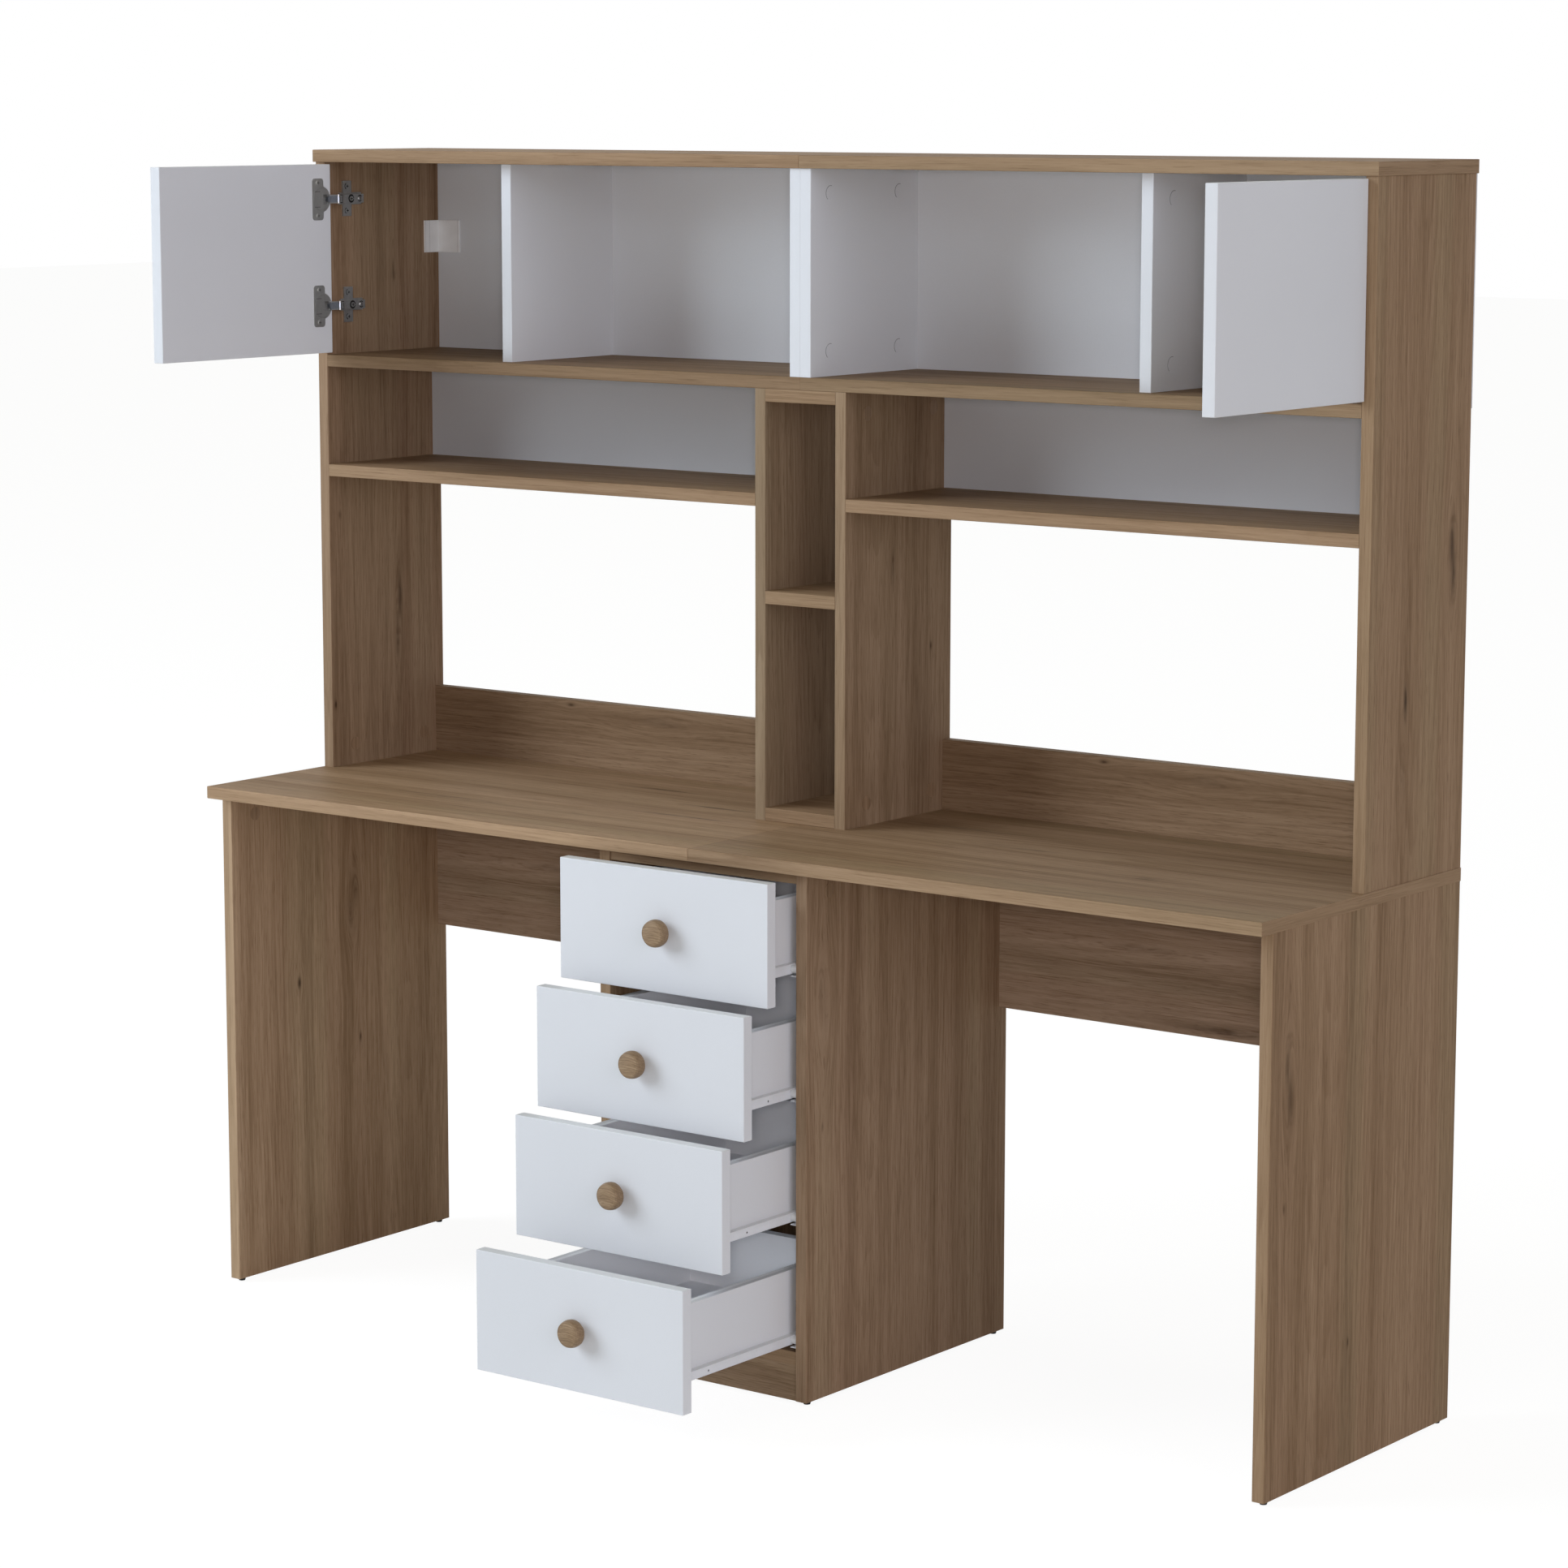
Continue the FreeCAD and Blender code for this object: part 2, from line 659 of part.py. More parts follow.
def turned_knob(front_y, z):
    def at(radius, depth):
        return Vector(radius, front_y - depth, z)

    rim_radius = knob_face_radius + knob_rim_round
    rim_depth = knob_depth - knob_rim_round
    rim_middle = at(knob_face_radius + knob_rim_round * sqrt(0.5), rim_depth + knob_rim_round * sqrt(0.5))
    ball_radius = (knob_face_radius ** 2 + knob_crown ** 2) / (2 * knob_crown)
    ball_drop = ball_radius - sqrt(ball_radius ** 2 - (knob_face_radius / 2) ** 2)
    crown_middle_depth = knob_depth + knob_crown - ball_drop
    neck = Part.Arc(at(knob_base_radius, 0), at(knob_neck_radius, knob_neck_depth),
                    at(knob_base_radius, 2 * knob_neck_depth)).toShape()
    shoulder = Part.LineSegment(at(knob_base_radius, 2 * knob_neck_depth),
                                at(knob_shoulder_radius, knob_shoulder_depth)).toShape()
    side = Part.Arc(at(knob_shoulder_radius, knob_shoulder_depth), at(knob_radius, knob_bulge_depth),
                    at(rim_radius, rim_depth)).toShape()
    rim = Part.Arc(at(rim_radius, rim_depth), rim_middle, at(knob_face_radius, knob_depth)).toShape()
    crown = Part.Arc(at(knob_face_radius, knob_depth), at(knob_face_radius / 2, crown_middle_depth),
                     at(0, knob_depth + knob_crown)).toShape()
    axis = Part.LineSegment(at(0, knob_depth + knob_crown), at(0, 0)).toShape()
    base = Part.LineSegment(at(0, 0), at(knob_base_radius, 0)).toShape()
    profile = Part.Face(Part.Wire([base, neck, shoulder, side, rim, crown, axis]))
    knob = profile.revolve(at(0, 0), BACK, 360)
    return knob.cut(rod(knob_screw_hole_radius, at(0, 0), BACK * -1, knob_screw_bite))


def knob_screw(back_y, z):
    seat = Vector(0, back_y, z)
    shank = rod(knob_screw_radius, seat, BACK * -1, board + knob_screw_bite)
    return shank.fuse(rod(knob_screw_head_radius, seat, BACK, knob_screw_head_height))


os.makedirs("parts", exist_ok=True)

# Desk
save("desk_top_right", [desk_top_right()])
save("desk_top_left", [mirrored(desk_top_right())])
leg_right = with_cam_bores(leg_panel(leg_outer, leg_inner, leg_front), leg_cams)
leg_right = with_foot_bores(leg_right, upright_centres[0])
save("leg_panel_right", [leg_right])
save("leg_panel_left", [mirrored(leg_right)])
pedestal_right = with_cam_bores(leg_panel(pedestal_outer, pedestal_inner, leg_front), pedestal_cams)
pedestal_right = with_foot_bores(pedestal_right, upright_centres[1])
save("pedestal_side_right", [pedestal_right])
save("pedestal_side_left", [mirrored(pedestal_right)])
save("modesty_panels", both_sides([modesty_right()]))
save("pedestal_top_board", [pedestal_board(desk_under - board)])
save("pedestal_bottom_board", [pedestal_board(pedestal_floor)])
save("pedestal_plinth", [pedestal_plinth()])
save("pedestal_back", [pedestal_back()])
save("glide_feet", both_sides([glide_foot(x, y) for x in upright_centres for y in foot_rows]))

# Hutch
hutch_left = with_plate_bores(mirrored(with_cam_bores(hutch_side_right(), hutch_side_cams)))
save("hutch_side_left", [hutch_left])
save("hutch_side_right", [mirrored(hutch_left)])
save("hutch_top_right", [hutch_top_right()])
save("hutch_top_left", [mirrored(hutch_top_right())])
save("cupboard_floor_right", [cupboard_floor_right()])
save("cupboard_floor_left", [mirrored(cupboard_floor_right())])
save("cupboard_backs", both_sides([cupboard_back_right()]))
dividers = [with_cam_bores(centre_divider_right(), centre_divider_cams),
            with_cam_bores(end_divider_right(), end_divider_cams)]
save("cupboard_dividers", both_sides(dividers))
save("open_shelves", both_sides([hutch_shelf(tower_outer, leg_inner, upper_shelf_top)]))
save("shelf_backs", both_sides([shelf_back_right()]))
save("splash_rails", both_sides([splash_rail_right()]))
tower_right = with_cam_bores(tower_side_right(), tower_cams)
save("tower_side_right", [tower_right])
save("tower_side_left", [mirrored(tower_right)])
save("tower_boards", tower_boards())
save("wall_brackets", both_sides([wall_bracket_right()]))
hutch_cams = centre_divider_cams + end_divider_cams + tower_cams + hutch_side_cams
cam_places = hutch_cams + leg_cams + pedestal_cams
save("cam_fittings", both_sides([cam_fitting(*place) for place in cam_places]))

# Doors
left_arms = []
left_cups = []
left_links = []
for height in hinge_heights:
    left_arms.append(hinge_arm(height))
    left_arms.extend(screw(seat, RIGHT) for seat in plate_screw_seats(height))
    left_cups.append(swung_open(hinge_cup(height)))
    left_cups.extend(swung_open(screw(seat, BACK)) for seat in flange_screw_seats(height))
    left_links.append(link_turned(hinge_link(height)))
left_door = swung_open(door_panel())
save("door_left", [left_door])
save("door_right", [mirrored(left_door)])
save("hinge_arms", both_sides(left_arms))
save("hinge_cups_left", left_cups)
save("hinge_cups_right", [mirrored(cup) for cup in left_cups])
save("hinge_links_left", left_links)
save("hinge_links_right", [mirrored(link) for link in left_links])

# Drawers, numbered from the top one down
cabinet_runners = []
for index, pull in enumerate(drawer_pulls):
    number = str(index + 1)
    front_low = lowest_front + (drawer_count - 1 - index) * front_pitch
    front_back = leg_front - front_closed_gap - pull
    knob_height = front_low + front_height / 2
    save("drawer_front_" + number, [drawer_front(front_back, front_low)])
    save("drawer_box_" + number, drawer_box(front_back, front_low))
    knob = turned_knob(front_back - board, knob_height)
    save("drawer_knob_" + number, [knob, knob_screw(front_back, knob_height)])
    save("drawer_runners_" + number, both_sides([drawer_runner(front_back, front_low)]))
    save("drawer_rollers_" + number, both_sides([drawer_roller(front_back, front_low)]))
    save("cabinet_rollers_" + number, both_sides([cabinet_roller(front_low)]))
    cabinet_runners.extend(both_sides([cabinet_runner(front_low)]))
save("cabinet_runners", cabinet_runners)
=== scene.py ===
import math

import bmesh
import bpy
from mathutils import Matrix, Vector


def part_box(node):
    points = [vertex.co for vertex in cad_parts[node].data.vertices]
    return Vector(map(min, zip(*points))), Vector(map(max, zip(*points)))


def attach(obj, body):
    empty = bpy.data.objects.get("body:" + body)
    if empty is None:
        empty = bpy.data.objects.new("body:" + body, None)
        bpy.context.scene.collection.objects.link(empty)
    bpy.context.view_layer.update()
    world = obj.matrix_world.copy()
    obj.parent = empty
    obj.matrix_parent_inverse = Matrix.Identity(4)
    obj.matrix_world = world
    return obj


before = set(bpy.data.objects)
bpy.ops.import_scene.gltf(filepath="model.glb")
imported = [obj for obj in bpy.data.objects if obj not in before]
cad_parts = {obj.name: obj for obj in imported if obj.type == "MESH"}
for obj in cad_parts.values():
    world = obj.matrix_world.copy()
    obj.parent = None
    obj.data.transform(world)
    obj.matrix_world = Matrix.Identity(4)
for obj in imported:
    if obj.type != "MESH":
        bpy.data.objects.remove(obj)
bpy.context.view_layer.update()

AXES = "XYZ"
# least part of a normal along an axis for a face that is square to it
FACE_LIMIT = 0.7
MM = 0.001
SIDES = {"left": -1.0, "right": 1.0}
BOTH_WAYS = (-1.0, 1.0)
DRAWERS = "1234"
HINGE_HEIGHTS = (1444.5, 1601.0)


class Finish:
    """A material under construction, with short calls for the nodes that it uses."""

    def __init__(self, name):
        self.material = bpy.data.materials.new(name)
        self.material.use_nodes = True
        self.tree = self.material.node_tree
        self.shader = self.tree.nodes["Principled BSDF"]
        self.place = self.node("ShaderNodeTexCoord").outputs["Object"]
        self.axes = self.split(self.place)

    def node(self, kind, settings=(), **inputs):
        made = self.tree.nodes.new(kind)
        for key, value in dict(settings).items():
            setattr(made, key, value)
        for key, value in inputs.items():
            self.put(made.inputs[key], value)
        return made

    def put(self, socket, value):
        if isinstance(value, bpy.types.NodeSocket):
            self.tree.links.new(value, socket)
        else:
            socket.default_value = value

    def math(self, operation, *values):
        made = self.node("ShaderNodeMath", {"operation": operation})
        for socket, value in zip(made.inputs, values):
            self.put(socket, value)
        return made.outputs[0]

    def times(self, first, second):
        return self.math("MULTIPLY", first, second)

    def minus(self, first, second):
        return self.math("SUBTRACT", first, second)

    def total(self, *values):
        result = values[0]
        for value in values[1:]:
            result = self.math("ADD", result, value)
        return result

    def weighted(self, *pairs):
        return self.total(*[self.times(value, share) for value, share in pairs])

    def distance(self, first, second):
        """Length of the diagonal over two sides."""
        return self.math("SQRT", self.total(self.times(first, first), self.times(second, second)))

    def away(self, value, place):
        return self.math("ABSOLUTE", self.minus(value, place))

    def step(self, value, low, high, out_low=0.0, out_high=1.0):
        made = self.node("ShaderNodeMapRange", {"interpolation_type": "SMOOTHSTEP"})
        for socket, number in zip(made.inputs[:5], (value, low, high, out_low, out_high)):
            self.put(socket, number)
        return made.outputs[0]

    def point(self, x, y, z):
        return self.node("ShaderNodeCombineXYZ", X=x, Y=y, Z=z).outputs[0]

    def stretched(self, vector, scale):
        made = self.node("ShaderNodeVectorMath", {"operation": "MULTIPLY"})
        self.put(made.inputs[0], vector)
        self.put(made.inputs[1], scale)
        return made.outputs[0]

    def moved(self, vector, offset):
        made = self.node("ShaderNodeVectorMath", {"operation": "ADD"})
        self.put(made.inputs[0], vector)
        self.put(made.inputs[1], offset)
        return made.outputs[0]

    def split(self, vector):
        parts = self.node("ShaderNodeSeparateXYZ", Vector=vector)
        return [parts.outputs[axis] for axis in AXES]

    def noise(self, vector, scale=1.0, detail=2.0, roughness=0.5):
        made = self.node("ShaderNodeTexNoise", Vector=vector, Scale=scale, Detail=detail,
                         Roughness=roughness)
        return made.outputs["Fac"]

    def grain(self, vector, stretch, detail=2.0, roughness=0.5):
        return self.noise(self.stretched(vector, stretch), detail=detail, roughness=roughness)

    def blend(self, factor, first, second, mode="MIX"):
        made = self.node("ShaderNodeMix", {"data_type": "RGBA", "blend_type": mode})
        self.put(made.inputs["Factor"], factor)
        self.put(made.inputs[6], first)
        self.put(made.inputs[7], second)
        return made.outputs[2]

    def switch(self, factor, first, second):
        made = self.node("ShaderNodeMix", {"data_type": "VECTOR"})
        self.put(made.inputs["Factor"], factor)
        self.put(made.inputs[4], first)
        self.put(made.inputs[5], second)
        return made.outputs[1]

    def ramp(self, value, stops):
        made = self.node("ShaderNodeValToRGB", Fac=value)
        points = made.color_ramp.elements
        points[0].position, points[0].color = stops[0][0], (*stops[0][1], 1.0)
        points[1].position, points[1].color = stops[-1][0], (*stops[-1][1], 1.0)
        for position, colour in stops[1:-1]:
            points.new(position).color = (*colour, 1.0)
        return made.outputs["Color"]

    def normals(self):
        normal = self.node("ShaderNodeNewGeometry").outputs["Normal"]
        return [self.math("ABSOLUTE", part) for part in self.split(normal)]

    def finish(self, colour, roughness, height, bump, distance, **plain):
        self.put(self.shader.inputs["Base Color"], colour)
        self.put(self.shader.inputs["Roughness"], roughness)
        for key, value in plain.items():
            self.shader.inputs[key.replace("_", " ")].default_value = value
        made = self.node("ShaderNodeBump", Height=height, Strength=bump, Distance=distance)
        self.put(self.shader.inputs["Normal"], made.outputs["Normal"])
        return self.material


def shaded(colour, tone):
    return tuple(value * tone for value in colour)


def solid(colour, tone=1.0):
    return (*shaded(colour, tone), 1.0)


# Oak decor. Lengths are in metres; "along" runs with the grain and "across" over the face.

OAK_DARK = (0.196, 0.119, 0.063)
OAK_MID = (0.288, 0.186, 0.108)
OAK_LIGHT = (0.368, 0.248, 0.151)
OAK_ROSE = (0.340, 0.200, 0.130)
OAK_OLIVE = (0.262, 0.190, 0.108)
OAK_LINE = (0.150, 0.086, 0.044)
OAK_KNOT = (0.050, 0.028, 0.015)
OAK_BAND = (0.405, 0.285, 0.172)
NO_TINT = (1.0, 1.0, 1.0)

# how often each pattern changes in a metre: along the grain, across it and into the board
SWAY_GRAIN = (1.6, 6.0, 6.0)
SLOW_GRAIN = (0.7, 6.0, 6.0)
BAND_GRAIN = (0.45, 24.0, 24.0)
HUE_GRAIN = (0.30, 12.0, 12.0)
STREAK_GRAIN = (4.0, 150.0, 150.0)
FIBRE_GRAIN = (13.0, 450.0, 450.0)
PORE_GRAIN = (42.0, 720.0, 720.0)
LINE_GRAIN = (2.4, 40.0, 40.0)
SEED_SHIFT = (1.37, 0.73, 0.41)

SWAY_WIDTH = 0.016
PITH_WANDER = 0.045
RINGS_PER_METRE = 125.0
RING_WANDER = 2.6
LINE_STARTS = (0.30, 0.92)
LINE_ENDS = (0.95, 1.0, 1.0, 0.0)
LINE_SHOWS = (0.38, 0.66)

BAND_SHARE = 0.58
STREAK_SHARE = 0.34
FIBRE_SHARE = 0.46
OAK_STOPS = (0.51, 0.69, 0.88)
EDGE_BAND_SHARE = 0.25
LINE_SHARE = 0.28

# noise values from which a colour starts and is full, then its share at both
ROSE_PART = (0.54, 0.70, 0.0, 0.12)
OLIVE_PART = (0.46, 0.32, 0.0, 0.35)
FIBRE_PART = (0.42, 0.30, 0.0, 0.30)
PORE_PART = (0.45, 0.26, 0.0, 0.44)
PORES_OFF_EDGE = (0.0, 1.0, 1.0, 0.35)

KNOT_FADE = -1.0
HALO_FADE = -0.09
KNOT_GAIN = 1.5
KNOT_PUSH = 0.8
KNOT_STREAKS = (1.25, 0.75)
KNOT_LIMIT = 1.2
KNOT_LEAST = 0.25
KNOT_DARKEST = 0.90
HALO_SHARE = 0.22
HALO_LIMIT = 0.3

OAK_ROUGH = 0.46
FIBRE_ROUGH = 0.16
LINE_ROUGH = 0.08
STREAK_RELIEF = 0.4
LINE_RELIEF = -0.3


def oak(name, main, grain, seed, pith, knots=(), repeat=0.0, tone=1.0, tint=NO_TINT):
    """Board decor: the rings of a tapering trunk cut flat, with fibres, tone bands and knots."""
    f = Finish(name)
    main_axis = AXES.index(main)
    grain_axis = AXES.index(grain)
    along = f.axes[grain_axis]
    if repeat:
        along = f.minus(along, f.times(f.math("GREATER_THAN", along, 0.0), repeat))
    across = f.axes[3 - main_axis - grain_axis]
    depth = f.axes[main_axis]
    normals = f.normals()
    at_end = f.math("GREATER_THAN", normals[grain_axis], FACE_LIMIT)
    on_edge = f.math("LESS_THAN", normals[main_axis], FACE_LIMIT)

    # fibres part round each knot, and the knot itself is dark
    knot_mask = 0.0
    halo_mask = 0.0
    shifted = across
    for knot_along, knot_across, length, width, strength in knots:
        du = f.math("DIVIDE", f.minus(along, knot_along), length)
        dv = f.math("DIVIDE", f.minus(across, knot_across), width)
        reach = f.total(f.times(du, du), f.times(dv, dv))
        core = f.math("POWER", math.e, f.times(reach, KNOT_FADE))
        halo = f.math("POWER", math.e, f.times(reach, HALO_FADE))
        knot_mask = f.total(knot_mask, f.times(core, KNOT_GAIN * strength))
        halo_mask = f.total(halo_mask, f.times(halo, strength))
        shifted = f.minus(shifted, f.times(f.times(dv, halo), KNOT_PUSH * width))

    flat = f.switch(at_end, f.point(along, shifted, depth), f.point(shifted, depth, along))
    flat_along, flat_across, flat_depth = f.split(flat)
    shift = tuple(seed * part for part in SEED_SHIFT)
    spot = f.moved(flat, shift)
    sway = f.grain(spot, SWAY_GRAIN)
    slow = f.grain(spot, SLOW_GRAIN, detail=1.0)
    swayed = f.total(flat_across, f.times(f.minus(sway, 0.5), SWAY_WIDTH))
    start = f.moved(f.point(flat_along, swayed, flat_depth), shift)

    bands = f.grain(start, BAND_GRAIN, roughness=0.55)
    hue = f.grain(start, HUE_GRAIN, detail=1.0)
    streaks = f.grain(start, STREAK_GRAIN, roughness=0.6)
    fibres = f.grain(start, FIBRE_GRAIN, detail=3.0, roughness=0.70)
    pores = f.grain(start, PORE_GRAIN, detail=1.0)

    pith_across, pith_depth, taper = pith
    core_depth = f.total(f.times(flat_along, taper), flat_depth, pith_depth, f.times(slow, PITH_WANDER))
    radius = f.distance(f.minus(swayed, pith_across), core_depth)
    ring = f.math("FRACT", f.weighted((radius, RINGS_PER_METRE), (bands, RING_WANDER)))
    line = f.times(f.step(ring, *LINE_STARTS), f.step(ring, *LINE_ENDS))
    lines = f.times(line, f.step(f.grain(start, LINE_GRAIN), *LINE_SHOWS))

    shade = f.weighted((bands, BAND_SHARE), (streaks, STREAK_SHARE), (fibres, FIBRE_SHARE))
    # tone brightens or darkens the whole board for the light and shade on it: painted light and shade
    shades = [shaded(colour, tone) for colour in (OAK_DARK, OAK_MID, OAK_LIGHT)]
    colour = f.ramp(shade, tuple(zip(OAK_STOPS, shades)))
    rose = f.blend(1.0, colour, solid(OAK_ROSE), "COLOR")
    colour = f.blend(f.step(hue, *ROSE_PART), colour, rose)
    olive = f.blend(1.0, colour, solid(OAK_OLIVE), "COLOR")
    colour = f.blend(f.step(hue, *OLIVE_PART), colour, olive)
    colour = f.blend(f.times(on_edge, EDGE_BAND_SHARE), colour, solid(OAK_BAND, tone))
    dark = solid(OAK_LINE, tone)
    colour = f.blend(f.times(lines, LINE_SHARE), colour, dark)
    colour = f.blend(f.step(fibres, *FIBRE_PART), colour, dark)
    pore_shade = f.times(f.step(pores, *PORE_PART), f.step(on_edge, *PORES_OFF_EDGE))
    colour = f.blend(pore_shade, colour, dark)
    # a tint is a painted colour cast that offsets the bounced light on a shaded board
    if tint != NO_TINT:
        colour = f.blend(1.0, colour, solid(tint), "MULTIPLY")
    if knots:
        streaky = f.step(f.total(fibres, streaks), *KNOT_STREAKS)
        dusk = f.math("MINIMUM", f.times(halo_mask, HALO_SHARE), HALO_LIMIT)
        colour = f.blend(dusk, colour, solid(OAK_LINE))
        core_shade = f.times(f.math("MINIMUM", knot_mask, KNOT_LIMIT), f.total(streaky, KNOT_LEAST))
        colour = f.blend(f.math("MINIMUM", core_shade, KNOT_DARKEST), colour, solid(OAK_KNOT))

    roughness = f.total(f.weighted((fibres, FIBRE_ROUGH), (lines, LINE_ROUGH)), OAK_ROUGH)
    height = f.total(fibres, pores, f.times(streaks, STREAK_RELIEF), f.times(lines, LINE_RELIEF))
    return f.finish(colour, roughness, height, bump=0.14, distance=0.0004, Specular_IOR_Level=0.06)


# White boards

WHITE = (0.742, 0.752, 0.770)
WHITE_STOPS = (0.30, 0.70)
WHITE_TONES = (0.975, 1.02)
WHITE_CLOUDS = 3.0
WHITE_CLOUDS_STEP = 0.1
WHITE_CLOUD_SHARE = 0.7
PEARL_GRAIN = 900.0
PEARL_SHARE = 0.3
WHITE_ROUGH = 0.36
PEARL_ROUGH = 0.10
WHITE_CLOUD_ROUGH = 0.06
HARDBOARD_STOPS = (0.32, 0.68)
HARDBOARD_TONES = (0.96, 1.01)
HARDBOARD_CLOUDS = 5.0
HARDBOARD_CLOUD_SHARE = 0.6
WEAVE_GRAIN = 420.0
WEAVE_SHARE = 0.4
WEAVE_ROUGH = 0.12
HARDBOARD_ROUGH = 0.44


def whites(stops, tones, lift):
    return tuple((stop, shaded(WHITE, tone * lift)) for stop, tone in zip(stops, tones))


def melamine(name, seed, inside=0.0, lift=1.0, tone=1.0):
    """White board. Faces less than "inside" from the middle plane are lighter by "lift": painted light on
    the inner faces of the drawer boxes.
    """
    f = Finish(name)
    cloud = f.noise(f.place, WHITE_CLOUDS + WHITE_CLOUDS_STEP * seed, 3.0)
    pearl = f.noise(f.place, PEARL_GRAIN, 2.0, 0.6)
    mottle = f.weighted((cloud, WHITE_CLOUD_SHARE), (pearl, PEARL_SHARE))
    colour = f.ramp(mottle, whites(WHITE_STOPS, WHITE_TONES, tone))
    # the inner faces are drawn lighter by lift: painted light
    if inside:
        painted_light_inside = f.ramp(mottle, whites(WHITE_STOPS, WHITE_TONES, lift))
        within = f.math("LESS_THAN", f.math("ABSOLUTE", f.axes[0]), inside)
        colour = f.blend(within, colour, painted_light_inside)
    roughness = f.total(f.weighted((pearl, PEARL_ROUGH), (cloud, WHITE_CLOUD_ROUGH)), WHITE_ROUGH)
    return f.finish(colour, roughness, pearl, bump=0.05, distance=0.0002, Specular_IOR_Level=0.35)


def hardboard(name):
    """Thin white back with a faint weave."""
    f = Finish(name)
    cloud = f.noise(f.place, HARDBOARD_CLOUDS, 3.0)
    weave = f.noise(f.place, WEAVE_GRAIN, 3.0, 0.65)
    mottle = f.weighted((cloud, HARDBOARD_CLOUD_SHARE), (weave, WEAVE_SHARE))
    colour = f.ramp(mottle, whites(HARDBOARD_STOPS, HARDBOARD_TONES, 1.0))
    roughness = f.total(f.times(weave, WEAVE_ROUGH), HARDBOARD_ROUGH)
    return f.finish(colour, roughness, weave, bump=0.08, distance=0.0002, Specular_IOR_Level=0.3)


# Plastics and metals

MOTTLE_STOPS = (0.30, 0.70)
# fine pattern per metre, clouds per metre, share of the clouds
PLASTIC_GRAIN = (1500.0, 60.0, 0.6)
PLASTIC_ROUGH = 0.14
METAL_GRAIN = (900.0, 130.0, 0.55)
METAL_ROUGH = 0.16


def mottled(f, grain, low, high):
    """Fine pattern of a finish, and its colour between two shades."""
    fine_scale, cloud_scale, cloud_share = grain
    fine = f.noise(f.place, fine_scale, 2.0, 0.6)
    cloud = f.noise(f.place, cloud_scale, 2.0)
    tone = f.weighted((cloud, cloud_share), (fine, 1.0 - cloud_share))
    return fine, f.ramp(tone, tuple(zip(MOTTLE_STOPS, (low, high))))


def plastic(name, low, high, rough, **plain):
    f = Finish(name)
    speck, colour = mottled(f, PLASTIC_GRAIN, low, high)
    roughness = f.total(f.times(speck, PLASTIC_ROUGH), rough)
    return f.finish(colour, roughness, speck, bump=0.06, distance=0.0002, **plain)


def metal(name, low, high, rough):
    f = Finish(name)
    scratches, colour = mottled(f, METAL_GRAIN, low, high)
    roughness = f.total(f.times(scratches, METAL_ROUGH), rough)
    return f.finish(colour, roughness, scratches, bump=0.06, distance=0.0002, Metallic=1.0)


BRACKET_LOW = (0.86, 0.85, 0.84)
BRACKET_HIGH = (0.93, 0.925, 0.92)
BRACKET_GROOVE_SHADE = (0.56, 0.55, 0.545)
BRACKET_GROOVES_X = (0.8395,)
BRACKET_GROOVES_Y = (0.3475, 0.3565)
BRACKET_ROUGH = 0.28
BRACKET_GROOVE_HALF = 0.0005
BRACKET_GROOVE_FLOOR = 0.0002
BRACKET_GROOVE_SHADE_SHARE = 0.75
BRACKET_SPECK_RELIEF = 0.2
BRACKET_GROOVE_RELIEF = -1.0


def bracket_plastic(name):
    """Pale moulded plastic with upright grooves on both legs of the bracket; the grooves are painted darker,
    as painted shade.
    """
    f = Finish(name)
    speck, colour = mottled(f, PLASTIC_GRAIN, BRACKET_LOW, BRACKET_HIGH)
    sideways = f.math("ABSOLUTE", f.axes[0])
    groove = 0.0
    for value, places in ((sideways, BRACKET_GROOVES_X), (f.axes[1], BRACKET_GROOVES_Y)):
        for place in places:
            cut = f.step(f.away(value, place), BRACKET_GROOVE_FLOOR, BRACKET_GROOVE_HALF, 1.0, 0.0)
            groove = f.math("MAXIMUM", groove, cut)
    # darker colour in the grooves: painted shade
    colour = f.blend(f.times(groove, BRACKET_GROOVE_SHADE_SHARE), colour, solid(BRACKET_GROOVE_SHADE))
    roughness = f.total(f.times(speck, PLASTIC_ROUGH), BRACKET_ROUGH)
    height = f.weighted((speck, BRACKET_SPECK_RELIEF), (groove, BRACKET_GROOVE_RELIEF))
    return f.finish(colour, roughness, height, bump=0.12, distance=0.0003)


LINK_LOW = (0.40, 0.43, 0.49)
LINK_HIGH = (0.58, 0.62, 0.70)
LINK_EDGE_HIGHLIGHT = (0.78, 0.77, 0.75)
LINK_BORDER_FROM = 0.0050
LINK_BORDER_TO = 0.0064
LINK_BORDER_FADE = 0.0003
LINK_EDGE_HIGHLIGHT_SHARE = 0.9
LINK_ROUGH = 0.30


def link_metal(name):
    """Steel strip with rolled upper and lower edges, on which a painted highlight lies."""
    f = Finish(name)
    scratches, colour = mottled(f, METAL_GRAIN, LINK_LOW, LINK_HIGH)
    border = 0.0
    for height in HINGE_HEIGHTS:
        away = f.away(f.axes[2], height * MM)
        edge = f.times(f.step(away, LINK_BORDER_FROM - LINK_BORDER_FADE, LINK_BORDER_FROM),
                       f.step(away, LINK_BORDER_TO, LINK_BORDER_TO + LINK_BORDER_FADE, 1.0, 0.0))
        border = f.math("MAXIMUM", border, edge)
    # the rolled edges are painted lighter: painted highlight
    colour = f.blend(f.times(border, LINK_EDGE_HIGHLIGHT_SHARE), colour, solid(LINK_EDGE_HIGHLIGHT))
    roughness = f.total(f.times(scratches, METAL_ROUGH), LINK_ROUGH)
    return f.finish(colour, roughness, f.total(scratches, border), bump=0.08, distance=0.0003, Metallic=1.0)


STEEL_LOW = (0.36, 0.36, 0.37)
STEEL_HIGH = (0.52, 0.52, 0.53)

# Turned knobs

